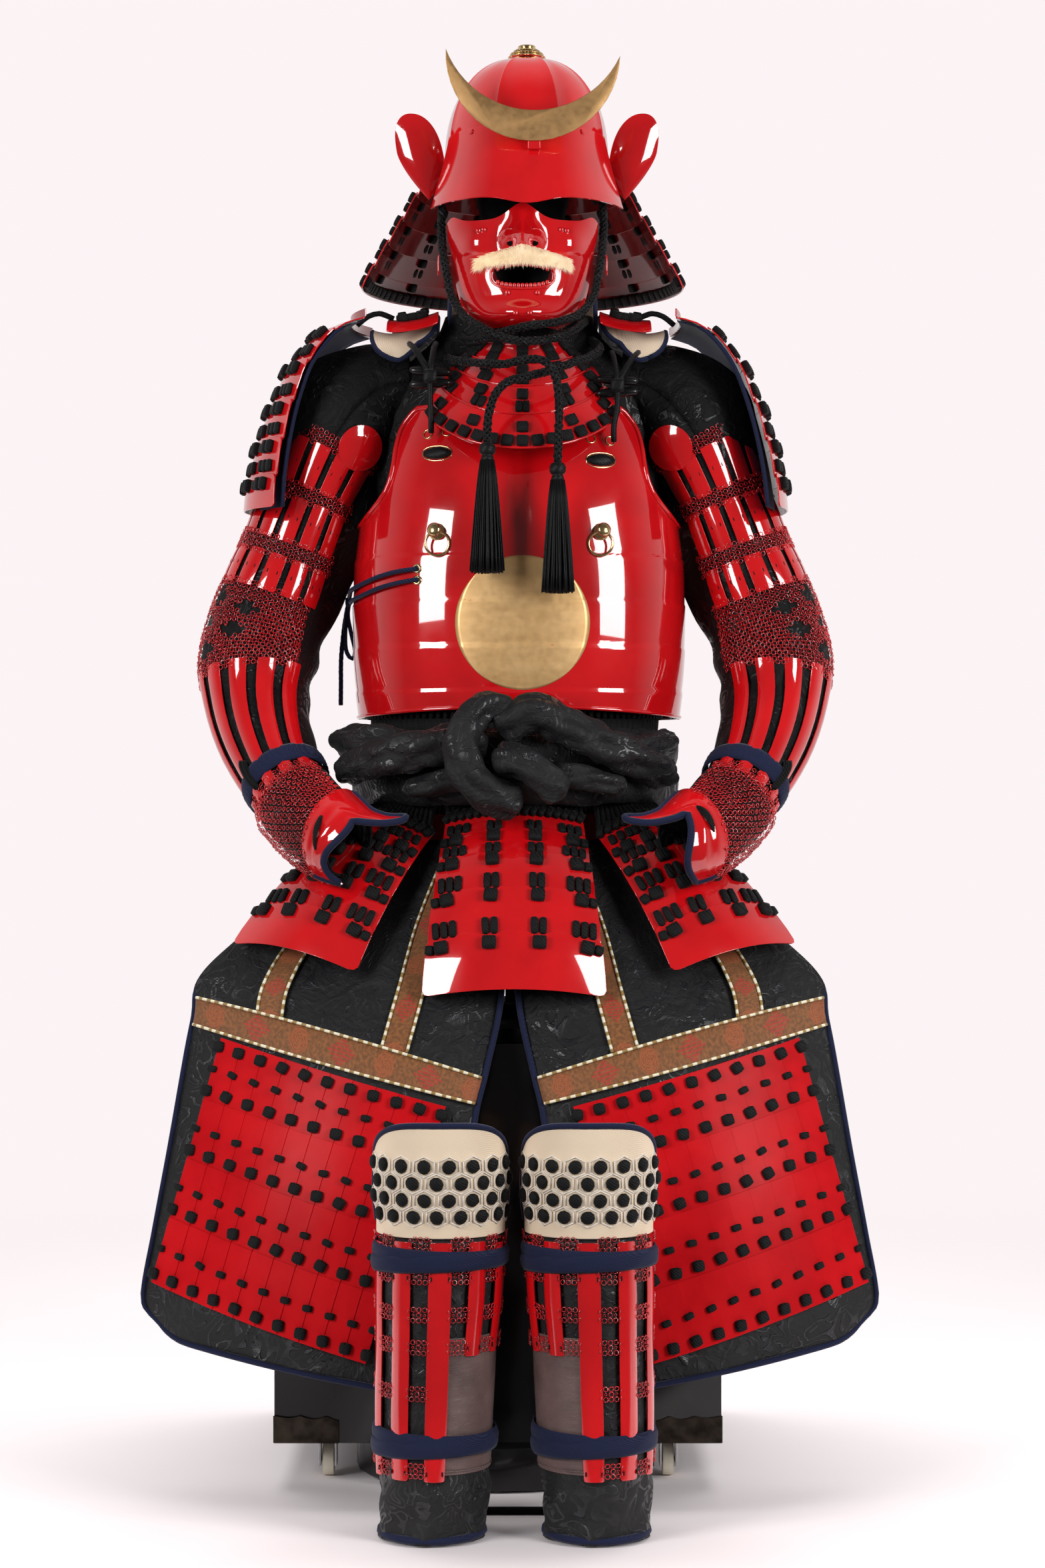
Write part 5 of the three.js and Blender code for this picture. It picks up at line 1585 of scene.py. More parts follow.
def skirt_cords():
    """Black cords that carry each hanging panel from the foot of the waist lacing."""
    bm = bmesh.new()
    for name, sizes in TASSETS.items():
        base = tasset_surface(*sizes)
        for s in (-1,) if name == "front" else (-1, 1):
            panel = base if name == "front" else mirrored(base, s)
            count = round(2 * sizes[3] / 6)
            for k in range(count):
                foot = panel((k + 0.5) / count, 0.05)
                a = math.atan2(foot.x, -foot.y)
                head = lacing_surface((a / (2 * pi)) % 1, 0.86)
                sag = head.lerp(foot, 0.5) + Vector((0, 0, -3))
                line = route([p + Vector((OFFSET["skirt"], 0, 0)) for p in (head, sag, foot)], 5)
                tube(bm, line, 3.1, 6)
    piece("skirt_cords", bm, [BLACK_CORD])


def skirt():
    skirt_cords()
    for name, sizes in TASSETS.items():
        base = tasset_surface(*sizes)
        tall = (Vector(sizes[1]) - Vector(sizes[0])).length
        tasset("tasset_" + name, hung(base, OFFSET["skirt"]), sizes[3], sizes[4], tall)
        if name != "front":
            other = hung(mirrored(base, 1), OFFSET["skirt"])
            tasset("tasset_" + name.replace("left", "right"), other, sizes[3], sizes[4], tall)


# ---------------- arms

ARM = [
    (120, 4, 1232, 45), (152, 4, 1226, 54), (182, 3, 1202, 61), (208, 2, 1166, 62), (228, 0, 1124, 56),
    (246, -1, 1080, 54), (268, -3, 1020, 57), (290, -8, 958, 62), (299, -18, 905, 65), (295, -38, 858, 58),
    (283, -68, 818, 52), (266, -100, 783, 46), (246, -130, 752, 42)]
HAND = [
    (245, -136, 750, 49), (222, -164, 728, 50), (196, -190, 710, 48), (167, -212, 699, 42),
    (137, -226, 699, 35), (111, -232, 706, 28)]


def limb_surface(line, s, start=0.0, end=360.0):
    """The skin of an arm: v runs down it, and u turns round it from start to end degrees.

    0 degrees lies in front and 90 to the right.
    """

    def surface(u, v):
        x, y, z, r = along(line, v)
        e = 0.5 / (len(line) - 1)
        before, after = along(line, v - e), along(line, v + e)
        down = Vector((s * (after[0] - before[0]), after[1] - before[1], after[2] - before[2])).normalized()
        front = (Vector((0, -1, 0)) + down * down.y).normalized()
        right = front.cross(down)
        a = mix(start, end, u) * DEGREE
        return Vector((s * x, y, z)) + front * (r * cos(a)) + right * (r * sin(a))

    return surface


def hand_end(u, s):
    """How far down the hand its plate reaches: short over the knuckles, long over the thumb."""
    across = clamp((paired(u, s) - 0.7) / 0.16)
    return mix(0.56 - 0.05 * sin(7 * u), 1, across * across * (3 - 2 * across))


def hand_start(u, s):
    """Where the hand's plate starts under the wrist mail: later on the outer side than over the thumb."""
    return mix(0.42, 0.28, paired(u, s))


def hand_surface(s):
    limb = limb_surface(HAND, s, -75 if s < 0 else -90, 90 if s < 0 else 75)
    return lambda u, v: limb(u, mix(hand_start(u, s), hand_end(u, s), v))


YOKE = [(1312, 86, 56), (1290, 94, 58), (1268, 116, 62), (1244, 146, 68), (1208, 166, 72), (1160, 172, 72),
        (1110, 166, 70), (1050, 150, 68)]


def yoke_surface(u, v):
    """Half of the black yoke that joins the two sleeves: u runs from mid-back round the side."""
    z, w, d = along(YOKE, v)
    a = mix(-180, 0, u) * DEGREE
    return Vector((w * sin(a), -d * cos(a), z))


def on_arm(index):
    return index / (len(ARM) - 1)


def mail(bm, surface, across, down, columns, lift, skip=None):
    """Rows of round links laid flat, half a link apart from row to row, tied by upright links."""
    flat, tied = [], []
    low, high = down
    rows = max(1, round((surface(0.5, low) - surface(0.5, high)).length / (5.9 * MM)))
    for j in range(rows + 1):
        v = mix(low, high, j / rows)
        for i in range(columns + 1):
            u = mix(across[0], across[1], (i + (0.5 if j % 2 else 0)) / (columns + 0.5))
            if skip and skip(u, v):
                continue
            place = facing(surface, u, v, lift + jitter(0.4), jitter(1.5))
            flat.append(place @ Matrix.Rotation(jitter(0.3), 4, "X") @ Matrix.Rotation(jitter(0.3), 4, "Y"))
            if j < rows and (i + j) % 3 == 0:
                slip = 0.25 * (across[1] - across[0]) / (columns + 0.5) * (1 if j % 2 else -1)
                tie = facing(surface, u + slip, v + 0.5 * (high - low) / rows, lift + 0.5,
                             0.5 if j % 2 else -0.5)
                tied.append(tie @ Matrix.Rotation(1.25, 4, "Y"))
    stamp(bm, LINK, flat)
    stamp(bm, TIE_LINK, tied)


def small_stitches(bm, surface, u, v, lift, gap):
    """Two short black stitches side by side."""
    stamp(bm, STITCH, [facing(surface, u - gap, v, lift), facing(surface, u + gap, v, lift)])


def arms():
    for word, s in SIDES:
        sleeve = hung(limb_surface(ARM, s), OFFSET["arms"])
        bm = bmesh.new()

        def folds(u, v):
            a = u * 2 * pi
            inner = 0.5 + 0.5 * sin(a - 0.5) * -s
            turn = u * 360 if s < 0 else 360 - u * 360
            full = 29 * bump(v - 0.42, 0.15) * clamp((turn - 60) / 32) * clamp((205 - turn) / 50)
            full += 24 * bump(v - 0.2, 0.1) * bump(turn - 262, 52)
            pull = sin(38 * v + 2.2 * sin(a) + 1.2 * s) * bump(v - 0.28, 0.2)
            pull += sin(60 * v - 3 * cos(a)) * bump(v - 0.66, 0.16)
            wrinkles = inner**2 * (2.4 * pull + 1.2 * sin(5 * a + 20 * v))
            return full + wrinkles + 0.45 * sin(9 * a + 55 * v) + 0.3

        lay(bm, sleeve, steps(64), steps(120), folds, cloth=(0.36, 0.62))
        yoke = hung(mirrored(yoke_surface, s), OFFSET["cuirass"])
        lay(bm, yoke, steps(40), steps(30), lambda u, v: 1.5 * sin(14 * u) * sin(9 * v), cloth=(0.36, 0.27))
        close_seams(bm)
        cloth = piece("sleeve_cloth_" + word, bm, [SHADED_SLEEVE_DAMASK, NAVY], "sleeve_" + word, wall=CLOTH)

        # The outer half: u runs from behind the left arm to its front, and the other way on the right arm.
        low, high = (-180.0, 60.0) if s < 0 else (-60.0, 180.0)
        outer = hung(limb_surface(ARM, s, low, high), OFFSET["arms"])
        plates, stitches, links = bmesh.new(), bmesh.new(), bmesh.new()
        count = 9
        for start, end in ((3.32, 4.42), (4.7, 5.62), (5.86, 6.56)):
            for k in range(count):
                u0 = (k + 0.13) / count
                u1 = (k + 0.87) / count
                v0, v1 = on_arm(start), on_arm(end)
                tall = (outer(0.5, v0) - outer(0.5, v1)).length / MM
                lame(plates, outer, v0, v1, 2.6, 21, tall, 1.6, 6, 4, (u0, u1), 1.2, 1.0)
                small_stitches(stitches, outer, (k + 0.5) / count, mix(v0, v1, 0.5), 3.9, 0.022)
        for k in range(count - 1):
            u0, u1 = (k + 0.18) / (count - 1), (k + 0.82) / (count - 1)
            v0, v1 = on_arm(8.25), on_arm(11.85)
            lame(plates, outer, v0, v1, 2.6, 20, 150, 3, 6, 16, (u0, u1), 1.4, 1.6)
            for t in (0.2, 0.48, 0.76):
                small_stitches(stitches, outer, (k + 0.5) / (count - 1), mix(v0, v1, t + jitter(0.03)), 4.1,
                               0.012)

        def cap(u, v):
            x, y = rounded_square(u, v)
            place = facing(outer, 0.87 if s < 0 else 0.13, on_arm(2.9), 3)
            return place @ Vector((x * 27 * MM, y * 27 * MM, (4 * (1 - x * x - y * y)) * MM))

        lay(plates, cap, steps(14), steps(14))
        piece("arm_splints_" + word, plates, PLATE_FINISH, "sleeve_armour_" + word, wall=1.6, bevel=0.3)
        piece("arm_stitches_" + word, stitches, [BLACK_CORD])

        openings = [(0.5, 0.18), (0.67, 0.25), (0.46, 0.43), (0.63, 0.52), (0.5, 0.74)]

        def opened(u, v):
            across = paired(u, s)
            t = (v - on_arm(6.5)) / on_arm(1.9)
            return any(abs(across - x) / 0.07 + abs(t - y) / 0.1 < 1 for x, y in openings)

        # How far across each band runs, its start and end down the arm, columns, lift and gaps.
        bands = (
            (1, 3.02, 3.36, 36, 2.4, None), (1, 4.38, 4.76, 35, 3.8, None),
            (1, 5.58, 5.92, 36, 3.8, None), (0.94, 6.5, 8.4, 38, 3.2, opened),
            (1, 11.65, 12, 28, 3.8, None))
        for right, start, end, columns, lift, skip in bands:
            mail(links, outer, (0, right), (on_arm(start), on_arm(end)), columns, lift, skip)
        glove = hung(limb_surface(HAND, s, low, high), OFFSET["arms"])

        def past_cuff(u, v):
            return v > 0.52 - 0.2 * paired(u, s)

        mail(links, glove, (0, 1), (0.0, 0.52), 28, 3.4, past_cuff)
        piece("arm_mail_" + word, links, [LINKS])

        band = bmesh.new()
        tie = hung(limb_surface(ARM, s, -195, 165), OFFSET["arms"])

        def braided(u, v):
            edge = sqrt(max(0.0, 1 - (2 * v_share(v) - 1) ** 2))
            ribs = 0.45 * sin(u * 2 * pi * 44 + (9 if v_share(v) > 0.5 else -9) * v_share(v))
            return 4.2 + (1.8 + ribs) * edge

        def v_share(v):
            return clamp((v - on_arm(11.1)) / on_arm(0.44))

        lay(band, tie, steps(280), [mix(on_arm(11.1), on_arm(11.54), t) for t in steps(8)], braided)
        strip = piece("wrist_band_" + word, band, [NAVY], wall=1.6)
        loop = bmesh.new()
        for lean in (-4, -1.3, 1.3, 4):
            over_band = ((10.86, 2.6), (11.04, 7), (11.32, 8.6), (11.56, 7), (11.68, 2.6))
            path = [facing(outer, 0.6 if s < 0 else 0.4, on_arm(i), lift).translation for i,
                    lift in over_band]
            line = route([in_figure(p) + Vector((lean, 0, 0)) for p in path], 2.5)
            tube(loop, line, 1.5, 6)
        piece("wrist_loop_" + word, loop, [BLACK_CORD])

        hand = hung(hand_surface(s), OFFSET["arms"])
        bm = bmesh.new()
        palm = hung(limb_surface(HAND, s), OFFSET["arms"])
        lay(bm, palm, steps(48), steps(40, 0, 0.5),
            lambda u, v: -1.5 - 12 * v + 0.6 * sin(30 * v) * sin(12 * u), cloth=(0.3, 0.12))
        close_seams(bm)
        lining = piece("glove_cloth_" + word, bm, [SHADED_SLEEVE_DAMASK], wall=CLOTH)
        bm = bmesh.new()

        def knuckles(u, v):
            return 2.6 + 2.2 * bump(v - 0.62, 0.12) * sin(pi * u) + 1.4 * bump(v - 0.3, 0.14) * sin(pi * u)

        lay(bm, hand, steps(40), steps(44), knuckles)
        piece("hand_plate_" + word, bm, PLATE_FINISH, "hand_guard_" + word, wall=PLATE, bevel=0.5)
        bm = bmesh.new()
        rim = row_at(0.995, 24, 0.005, 0.995)
        rim = column_at(0.004, 16, 0.03, 0.98) + rim + column_at(0.996, 16, 0.98, 0.03)
        bind_edge(bm, hand, rim, 4.0, 1.6, 3)
        piece("hand_binding_" + word, bm, [NAVY])
        bm = bmesh.new()
        for lean in (-3, 0, 3):
            path = [facing(hand, 0.34 + t * 0.2, 0.6 - 0.25 * t, 2.6 + 6 * sin(pi * t)).translation
                    for t in steps(6)]
            line = route([in_figure(p) + Vector((0, 0, lean)) for p in path], 2.5)
            tube(bm, line, 2.1)
        piece("finger_loop_" + word, bm, [BLACK_CORD])


# ---------------- shoulder guards

SODE_LINE = [(190, 1303), (226, 1290), (258, 1254), (278, 1208), (291, 1164), (300, 1122), (305, 1084)]


def sode_surface(wrap):
    def surface(u, v):
        side = mix(1, -1, u)
        x, z = along(SODE_LINE, v)
        return Vector((-x + wrap * side * side * mix(0.5, 1, v), 4 + side * mix(84, 98, v), z))

    return surface


def shoulder_guards():
    for word, s in SIDES:
        surface = hung(mirrored(sode_surface(40 if s < 0 else 16), s), OFFSET["arms"])
        plates, cords = bmesh.new(), bmesh.new()
        knots, smalls, loops = [], [], []
        width = 190
        front = 1 if s < 0 else 0
        for k in range(6):
            top, foot = k / 6, min(1, (k + 1.12) / 6)
            height = (surface(0.5, top) - surface(0.5, foot)).length / MM
            lift = k * LAP_STEP
            lame(plates, surface, top, foot, lift, width, height, 7, 34, 4, bulge=0.8)
            face = lift + 3.2
            if k == 0:
                continue
            for share in (0.105, 0.3, 0.5, 0.7, 0.895):
                u = share if front == 0 else 1 - share
                for side in (-4.3, 4.3):
                    knots.append(facing(surface, u + side / width, top + 0.042, face, jitter(0.08)))
                if share < 0.2 or share > 0.8:
                    smalls.append(facing(surface, u + (-13 if u > 0.5 else 13) / width, top + 0.046, face - 1,
                                         jitter(0.1)))
                if k < 5:
                    for side in (-8, 0, 8):
                        loops.append(facing(surface, u + side / width, top + 0.128, face - 0.4, jitter(0.05)))
        # The small upright rim along the top edge.
        lay(plates, lambda u, v: surface(u, 0) + Vector((0, 0, 9 * MM * v)), steps(30), steps(2))
        piece("shoulder_guard_lames_" + word, plates, PLATE_FINISH, "shoulder_guard_" + word, wall=1.8,
              bevel=0.5)
        stamp(cords, SODE_KNOT, knots)
        stamp(cords, SMALL_KNOT, smalls)
        stamp(cords, SHORT_LOOP, loops)
        ties = [(s * 142, 8, 1312), (s * 158, 8, 1318), (s * 172, 6, 1314), (s * 184, 4, 1304)]
        for forward, down in ((0, 0), (14, 2)):
            tube(cords, route([(x + OFFSET["arms"], y - forward, z - down) for x, y, z in ties], 3), 3.2)
        piece("shoulder_guard_lacing_" + word, cords, [BLACK_CORD])
        bm = bmesh.new()
        lay(bm, surface, steps(24, 0.02, 0.98), steps(32, 0.02, 0.99), -3.4)
        lining = piece("shoulder_guard_lining_" + word, bm, [NAVY], wall=0.8)
        bm = bmesh.new()
        bind_edge(bm, surface, [(front * 0.985 + (1 - front) * 0.015, v) for v in steps(30, 0.14, 0.985)],
                  2.6, -3.2, 4)
        edge = piece("shoulder_lining_edge_" + word, bm, [NAVY])


# ---------------- thighs

THIGH = [
    (0, -188, -98, 712, -6, -140, 706, 6), (0.17, -296, -135, 604, -7, -198, 622, 16),
    (0.3, -347, -165, 552, -8, -238, 535, 30), (0.41, -353, -185, 512, -25, -284, 455, 36),
    (0.47, -359, -195, 478, -34, -298, 419, 38), (0.66, -376, -215, 372, -48, -315, 310, 42),
    (0.83, -393, -226, 276, -56, -322, 212, 44), (0.93, -404, -230, 212, -61, -325, 151, 45),
    (1, -402, -232, 170, -64, -326, 112, 46)]


def thigh_surface(u, v):
    _, ox, oy, oz, ix, iy, iz, bulge = between(THIGH, v)
    corner = 15 * max(0, 1 - u / 0.16) ** 2 * max(0, (v - 0.93) / 0.07) ** 2
    forward = bulge * 4 * u * (1 - u)
    return Vector((mix(ox, ix, u) + corner, mix(oy, iy, u) - forward, mix(oz, iz, u) + corner))


def ribbon(bm, surface, centre, half, length, width, lift):
    """A flat ribbon: centre(t) and half(t) give its middle and its half width, as places on the surface."""

    def laid(t, w):
        (u, v), (du, dv) = centre(t), half(t)
        x, y = u + du * (2 * w - 1), v + dv * (2 * w - 1)
        return surface(x, y) + outward(surface, x, y) * (lift * MM)

    verts = lay(bm, laid, steps(60), steps(6), cloth=(length, width))
    remap(bm, verts, lambda x, y: (x, y - width / 2))


def thighs():
    for word, s in SIDES:
        base = mirrored(thigh_surface, s)
        surface = hung(base, OFFSET["thighs"])

        def folds(u, v):
            t = paired(u, s)
            drape = 3.2 * sin(9 * t + 6 * v) * bump(v - 0.2, 0.2)
            drape += 1.6 * sin(23 * t + 4 * v) * bump(v - 0.22, 0.16)
            hem = 1.4 * sin(15 * t) * clamp((v - 0.95) / 0.05)
            return drape - 1.5 + hem

        bm = bmesh.new()
        lay(bm, surface, steps(70), steps(130), folds, cloth=(0.36, 0.68))
        cloth = piece("thigh_apron_" + word, bm, [DAMASK, NAVY], "thigh_cloth_" + word, wall=CLOTH)
        bm = bmesh.new()
        edge = column_at(0.004, 40, 0.2, 0.97) + [(0.02, 0.992)]
        edge += row_at(0.997, 24, 0.06, 0.94)
        edge += [(0.98, 0.992)] + column_at(0.996, 40, 0.97, 0.2)
        bind_edge(bm, surface, edge, 3.4, -1.6, 5)
        binding = piece("thigh_binding_" + word, bm, [NAVY])

        bands, cords = bmesh.new(), bmesh.new()

        def band_place(t, edge=0.0):
            """Middle line of the level band, or one of its edges at -1 and 1."""
            v0, v1 = mix(0.352, 0.415, paired(t, s)), mix(0.428, 0.462, paired(t, s))
            return (t, mix((v0 + v1) / 2, v1 if edge > 0 else v0, abs(edge)))

        ribbon(bands, surface, lambda t: band_place(mix(0.012, 0.988, t)),
               lambda t: (0, -mix(0.038, 0.0235, paired(t, s))), 0.36, 0.031, 1.1)
        for side in (-1, 1):
            bind_edge(cords, surface, [band_place(t, side * 0.93) for t in steps(40, 0.015, 0.985)], 1.75,
                      2.6, 2.2)
        for u_top, u_foot in ((0.255, 0.268), (0.735, 0.69)):
            foot = band_place(paired(u_foot, s), -0.98)[1]

            def line(t):
                return (paired(mix(u_top, u_foot, t), s), mix(0.06, foot, t))

            def half(t):
                row = between(THIGH, line(t)[1])
                return (15.5 / math.hypot(row[4] - row[1], row[5] - row[2]), 0)

            ribbon(bands, surface, line, half, 0.24, 0.031, 1.0)
            for side in (-1, 1):
                path = [(line(t)[0] + side * 0.93 * half(t)[0], line(t)[1]) for t in steps(24)]
                bind_edge(cords, surface, path, 1.75, 2.5, 2.2)
        ribbons = piece("brocade_bands_" + word, bands, [BROCADE], wall=0.6)
        twist = piece("gold_twist_" + word, cords, [GOLD_TWIST])

        def field(u, v):
            t = paired(u, s)
            top_u, top_v = mix(0.12, 0.895, t), mix(0.437, 0.474, t)
            foot_u, foot_v = mix(0.04, 0.735, t), mix(0.905, 0.955, t)
            return surface(paired(mix(top_u, foot_u, v), s), mix(top_v, foot_v, v))

        plates, tufts = bmesh.new(), bmesh.new()
        columns, rows = 10, 4
        big, small = [], []
        for j in range(rows):
            for i in range(columns):
                u0, u1 = i / columns, (i + 1) / columns
                v0, v1 = j / rows, (j + 1) / rows + (0.012 if j < rows - 1 else 0)

                def tilt(u, _):
                    return 2.4 + 1.1 * j + 0.9 * (u - u0) * columns

                across = [u0, u0 + 0.004, (u0 + u1) / 2, u1 - 0.004, u1]
                lay(plates, field, across, [v0] + steps(4, v0 + 0.004, v1 - 0.004) + [v1], tilt)
            for i in range(columns + 1):
                u = clamp(i / columns, 0.006, 0.994)
                lift = 4.6 + 1.1 * j
                big.append(facing(field, u, (j + 1) / rows - 0.034, lift, jitter(0.25)))
                if j == 0:
                    big.append(facing(field, u, 0.035, lift, jitter(0.25)))
                small.append(facing(field, u, (j + 0.5) / rows, lift, jitter(0.2)))
        piece("thigh_plate_field_" + word, plates, [RED_SATIN, RED_INSIDE], "thigh_plates_" + word, wall=1.6,
              bevel=0.35)
        stamp(tufts, BIG_TUFT, big)
        stamp(tufts, OVAL_KNOT, small)
        piece("thigh_tufts_" + word, tufts, [BLACK_CORD])


# ---------------- shins

SHIN = [(311, 62, 67), (262, 61, 70), (200, 58, 68), (110, 57, 65), (58, 55, 64), (1.5, 53, 62)]
GREAVE = {"x": (-84, 68), "lean": (-9, 8), "y": -470}
# Heights in millimetres, and turns in degrees each way from the front. The knee's top drops at its sides.
SHIN_TOP, SHIN_FOOT, SHIN_TURN, SHIN_RADIUS = 311, 1.5, 150, 61
KNEE_TOP, KNEE_DROP, KNEE_FOOT, KNEE_TURN = 427, 46, 312, 96
KNEE_ARC = 1.17  # millimetres round the knee cap in one degree


def shin_surface(i, reach=SHIN_TURN):
    def surface(u, v):
        a = mix(-reach, reach, u) * DEGREE
        z = mix(SHIN_TOP, SHIN_FOOT, v)
        _, w, d = between(SHIN, z)
        return Vector((GREAVE["x"][i] + GREAVE["lean"][i] * v + w * sin(a), GREAVE["y"] - d * cos(a), z))

    return surface


def knee_top(side):
    return KNEE_TOP - KNEE_DROP * abs(side) ** 3.2


def knee_surface(i):
    def surface(u, v):
        side = mix(-1, 1, u)
        a = side * KNEE_TURN * DEGREE
        z = mix(knee_top(side), KNEE_FOOT, v)
        swell = 6 * sin(pi * min(1, v + 0.15))
        return Vector((GREAVE["x"][i] + (66 + swell / 2) * sin(a), GREAVE["y"] - (70 + swell) * cos(a), z))

    return surface


def knee_place(degrees, z):
    side = degrees / KNEE_TURN
    return 0.5 + side / 2, clamp((knee_top(side) - z) / (knee_top(side) - KNEE_FOOT))


def down_shin(z):
    return (SHIN_TOP - z) / (SHIN_TOP - SHIN_FOOT)


def round_shin(degrees):
    return (degrees + SHIN_TURN) / (2 * SHIN_TURN)


def shin_share(wide):
    """A width in millimetres across the shin, as a share of the way round it."""
    return wide / SHIN_RADIUS / DEGREE / (2 * SHIN_TURN)


def shins():
    for i, (word, s) in enumerate(SIDES):
        surface = hung(shin_surface(i))
        inner = -s

        def puffed(u, v):
            foot = clamp((v - 0.75) / 0.08)
            slant = abs(sin(19 * u + 30 * v + 2 * sin(9 * u))) - 0.6
            creases = 2.2 * slant * foot + 2.4 * sin(26 * u + 14 * v) * foot
            creases += 1.8 * bump(v - 0.84, 0.05) * foot
            return 0.6 * sin(70 * u) * sin(40 * v) + creases

        bm = bmesh.new()
        lay(bm, surface, steps(80), steps(90), puffed, cloth=(0.32, 0.31))
        cloth = piece("greave_cloth_" + word, bm, [DAMASK, NAVY], "shin_cloth_" + word, wall=CLOTH)
        bm = bmesh.new()
        bind_edge(bm, surface, row_at(0.985, 60, 0.004, 0.996), 4.2, -0.4, 4)
        hem = piece("greave_hem_" + word, bm, [NAVY])

        bm = bmesh.new()
        patch_from, patch_to = sorted((round_shin(inner * 12), round_shin(inner * 112)))
        lay(bm, surface, steps(30, patch_from, patch_to), steps(40, down_shin(212), down_shin(73)),
            lambda u, v: 2.4 + 0.5 * sin(18 * v) * sin(9 * u))
        patch = piece("leather_patch_" + word, bm, [LEATHER], wall=1.2, bevel=0.4)
        bm = bmesh.new()
        for k in range(30):
            u = mix(patch_from, patch_to, (k + 0.5) / 30)
            stamp(bm, STITCH, [facing(surface, u, down_shin(77), 2.9, pi / 2)])
        piece("leather_stitches_" + word, bm, [LEATHER])

        plates, links, holes = bmesh.new(), bmesh.new(), bmesh.new()
        long_foot, short_foot = 67, 193
        splints = [(-109, 21, 150), (-72, 21, long_foot), (-35, 21.5, long_foot), (2, 22, long_foot),
                   (37, 19, short_foot), (70, 19, short_foot), (104, 19, short_foot)]
        for degrees, wide, foot in splints:
            degrees *= inner
            half = shin_share(wide / 2)
            middle = round_shin(degrees)
            top = 308 - (4 if abs(degrees) > 60 else 0)
            lame(plates, surface, down_shin(top), down_shin(foot), 3.0, wide, top - foot, 2.4, 8, 20,
                 (middle - half, middle + half), 2.0, 2.4)
            for z in (272, foot + 8):
                stamp(holes, STITCH, [facing(surface, middle + t, down_shin(z), 5.1)
                                      for t in (-half * 0.75, half * 0.75)])
        gaps = [(-90, 14, 0), (-53, 14, 0), (-16, 13, 0), (20, 12, 1), (54, 10, 1), (88, 10, 1)]
        for degrees, wide, short in gaps:
            for z in ((306, 274, 236, 203) if short else (306, 274, 236, 203, 156, 78)):
                drop = 5 if degrees < -70 else 0
                for row in (-1, 0, 1):
                    for col in (-1, 0, 1):
                        u = round_shin(inner * degrees) + shin_share(col * 5.6)
                        shape = LINK if (row + col) % 2 == 0 or col == 0 else TIE_LINK
                        place = facing(surface, u, down_shin(z + drop + row * 5.3), 5.4 + jitter(0.5),
                                       jitter(1))
                        stamp(links, shape, [place @ Matrix.Rotation(jitter(0.35), 4, "X")])
                for col in (-2, 2):
                    u = round_shin(inner * degrees) + shin_share(col * 5.0)
                    for row in (-0.7, 0.7):
                        place = facing(surface, u, down_shin(z + drop + row * 5.3), 6)
                        stamp(links, TIE_LINK, [place @ Matrix.Rotation(0.9, 4, "Y")])
        piece("greave_splints_" + word, plates, PLATE_FINISH, "shin_splints_" + word, wall=1.7, bevel=0.35)
        piece("greave_mail_" + word, links, [LINKS])
        piece("greave_stitches_" + word, holes, [BLACK_CORD])

        bm = bmesh.new()
        whole = hung(shin_surface(i, 180))
        wraps = ((292, 3.0, 9.5, 6.2), (285, -3.5, 8.5, 7.6), (106, 3.0, 10, 5.6), (98, -3.5, 9, 7.0))
        for middle, slope, half, lift in wraps:
            def wrapped(u, t):
                a = u * 2 * pi
                z = middle + slope * sin(a + 0.6) + (2 * t - 1) * -half
                belly = sqrt(max(0, 1 - (2 * t - 1) ** 2))
                crease = 0.35 * sin(19 * t + 3 * sin(2 * a)) + 0.3 * sin(11 * a + 6 * t)
                v = down_shin(z)
                return whole(u, v) + outward(whole, u, v) * ((lift + 2.0 * belly + crease) * MM)

            lay(bm, wrapped, steps(90), steps(10))
        close_seams(bm)
        ties = piece("greave_ties_" + word, bm, [NAVY], wall=1.6)

        knee = hung(knee_surface(i))
        bm = bmesh.new()
        pitch = 20.6
        cells = []
        for z, stagger in ((385, pitch / 2), (368, 0), (351, pitch / 2), (334, 0)):
            turns = [k * pitch + stagger - 2 for k in range(-4, 5)]
            cells += [(degrees, z) for degrees in turns if abs(degrees) < 84]

        def quilted(u, v):
            side = 2 * u - 1
            z = mix(knee_top(side), KNEE_FOOT, v)
            near = min(math.hypot((side * KNEE_TURN - d) * KNEE_ARC, z - h) for d, h in cells)
            return 1.2 * bump(near - 8.5, 4.0) - 0.8 * bump(near, 4.5) + 0.3 * sin(9 * u) * sin(7 * v)

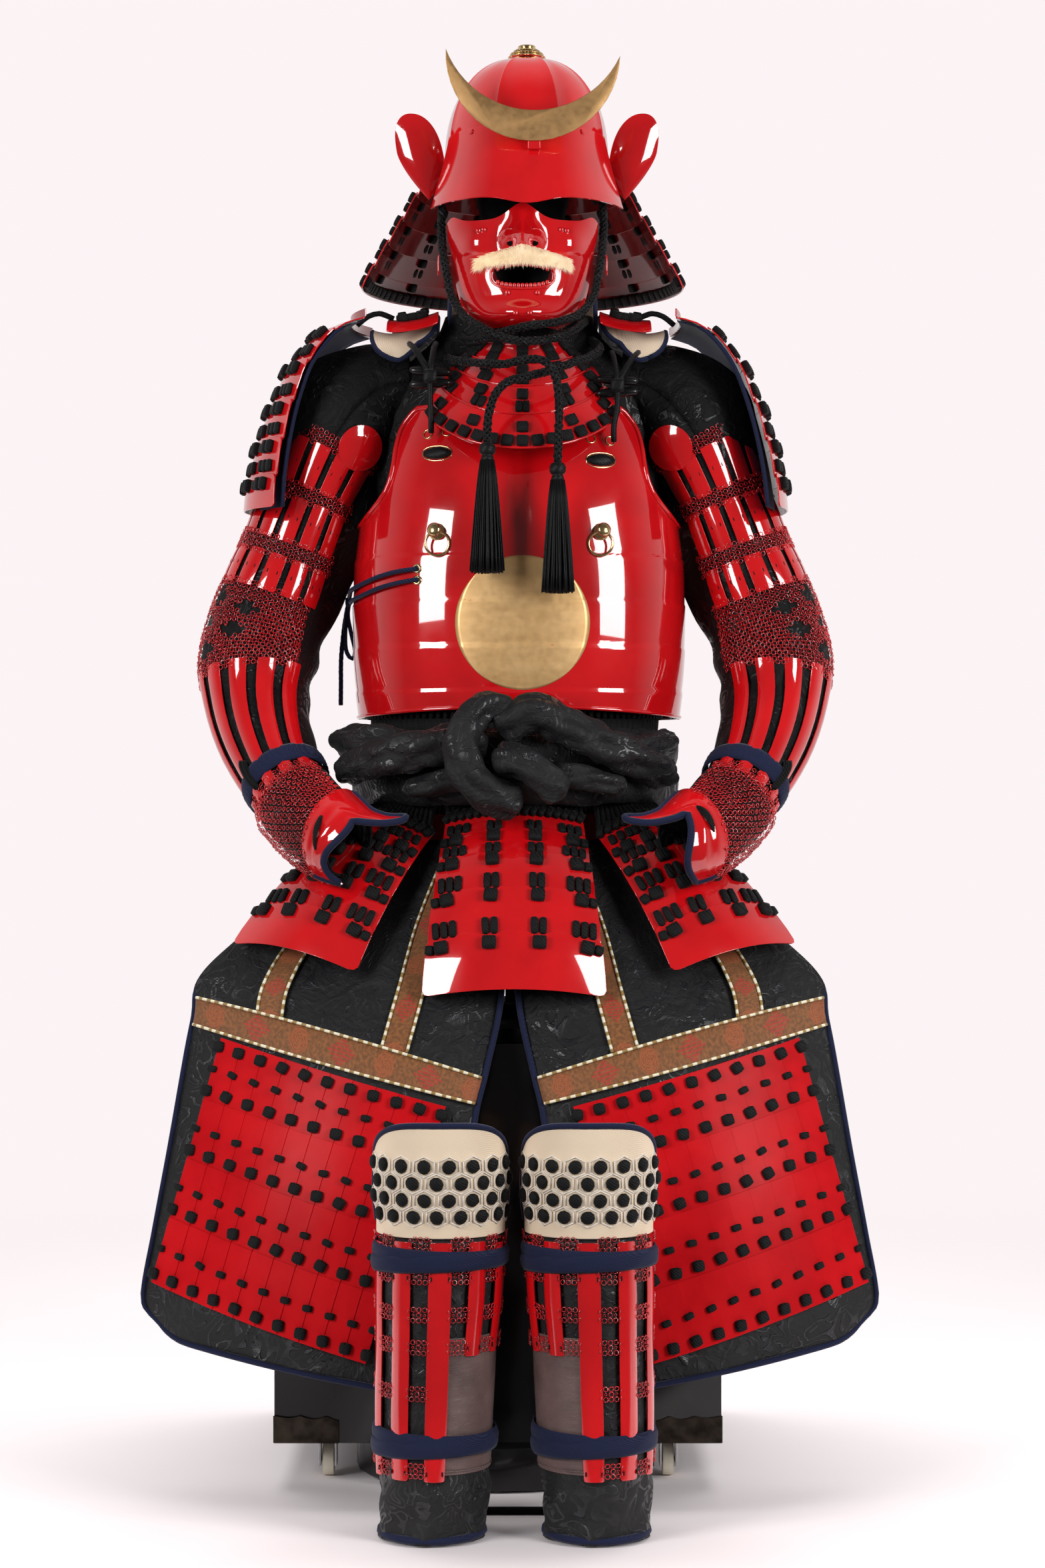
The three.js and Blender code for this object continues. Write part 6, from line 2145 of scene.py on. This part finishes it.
        lay(bm, knee, steps(90), steps(56), quilted, cloth=(0.22, 0.11))
        cap = piece("knee_cap_" + word, bm, [TWILL], "knee_guard_" + word, wall=CLOTH + 1, bevel=0.8)
        bm = bmesh.new()
        bind_edge(bm, knee, column_at(0.008, 10, 0.85, 0.02) + row_at(0.01, 50, 0.02, 0.98)
                  + column_at(0.992, 10, 0.02, 0.85), 3.6, -1.0, 4)
        piece("knee_binding_" + word, bm, [NAVY])
        tufts, thread = bmesh.new(), bmesh.new()
        stamp(tufts, KNEE_TUFT, [facing(knee, *knee_place(d, z), 2.2, jitter(1.5)) for d, z in cells])
        for d, z in cells:
            corners = []
            for k in range(7):
                a = k * pi / 3 + pi / 6
                corners.append(knee_place(clamp(d + 11.6 / KNEE_ARC * cos(a), -95, 95), z + 10.4 * sin(a)))
            for one, two in zip(corners, corners[1:]):
                bind_edge(thread, knee, [one, ((one[0] + two[0]) / 2, (one[1] + two[1]) / 2), two], 0.65, 1.7,
                          5, 5)
        piece("knee_tufts_" + word, tufts, [BLACK_CORD])
        piece("knee_stitching_" + word, thread, [THREAD])


# ---------------- box and stands

BOX = {"x": -27, "wide": 490, "front": -232, "back": 238, "bottom": 48}


def scalloped(t):
    """How tall a corner fitting stands, from the corner at 0 to its tip at 1."""
    return 30 - 5 * abs(sin(2.5 * pi * t)) * (0.3 + 0.7 * t)


def box_and_stands():
    refinished("lacquered_armour_box", "armour_box", BLACK_BOX, 1.4)
    for stand in ("display_stand", "shin_stand"):
        refinished("lacquered_" + stand, stand, MATT_BLACK, 0.8)

    bm = bmesh.new()
    for s in (-1, 1):
        for y, facing_out in ((BOX["front"], -1), (BOX["back"], 1)):
            x = BOX["x"] + s * BOX["wide"] / 2

            def front_leaf(t, v):
                return at(x - s * 71 * t, y + facing_out * 1.2, BOX["bottom"] + scalloped(t) * (1 - v))

            def side_leaf(t, v):
                return at(x + s * 1.2, y - facing_out * 71 * t, BOX["bottom"] + scalloped(t) * (1 - v))

            for leaf in (front_leaf, side_leaf):
                lay(bm, leaf, steps(36), steps(10))
    bmesh.ops.recalc_face_normals(bm, faces=bm.faces[:])
    piece("bronze_corner_fittings", bm, [BRONZE], wall=1.2, bevel=0.3)

    for word in ("left", "right"):
        for end in ("front", "back"):
            tag = end + "_" + word
            refinished("plated_fork_" + tag, "caster_fork_" + tag, STEEL, 0.5, "fork_" + tag)
            refinished("nylon_wheel_" + tag, "caster_wheel_" + tag, NYLON, 0.8, "wheel_" + tag)


for make in (studio, helmet_cords, side_cord, helmet_bowl, helmet_front, helmet_neck_guard, face_mask,
             throat_guard, cuirass_plates, shoulders, chest_rings, waist_lacing, sash, skirt, arms,
             shoulder_guards, thighs, shins, box_and_stands):
    make()
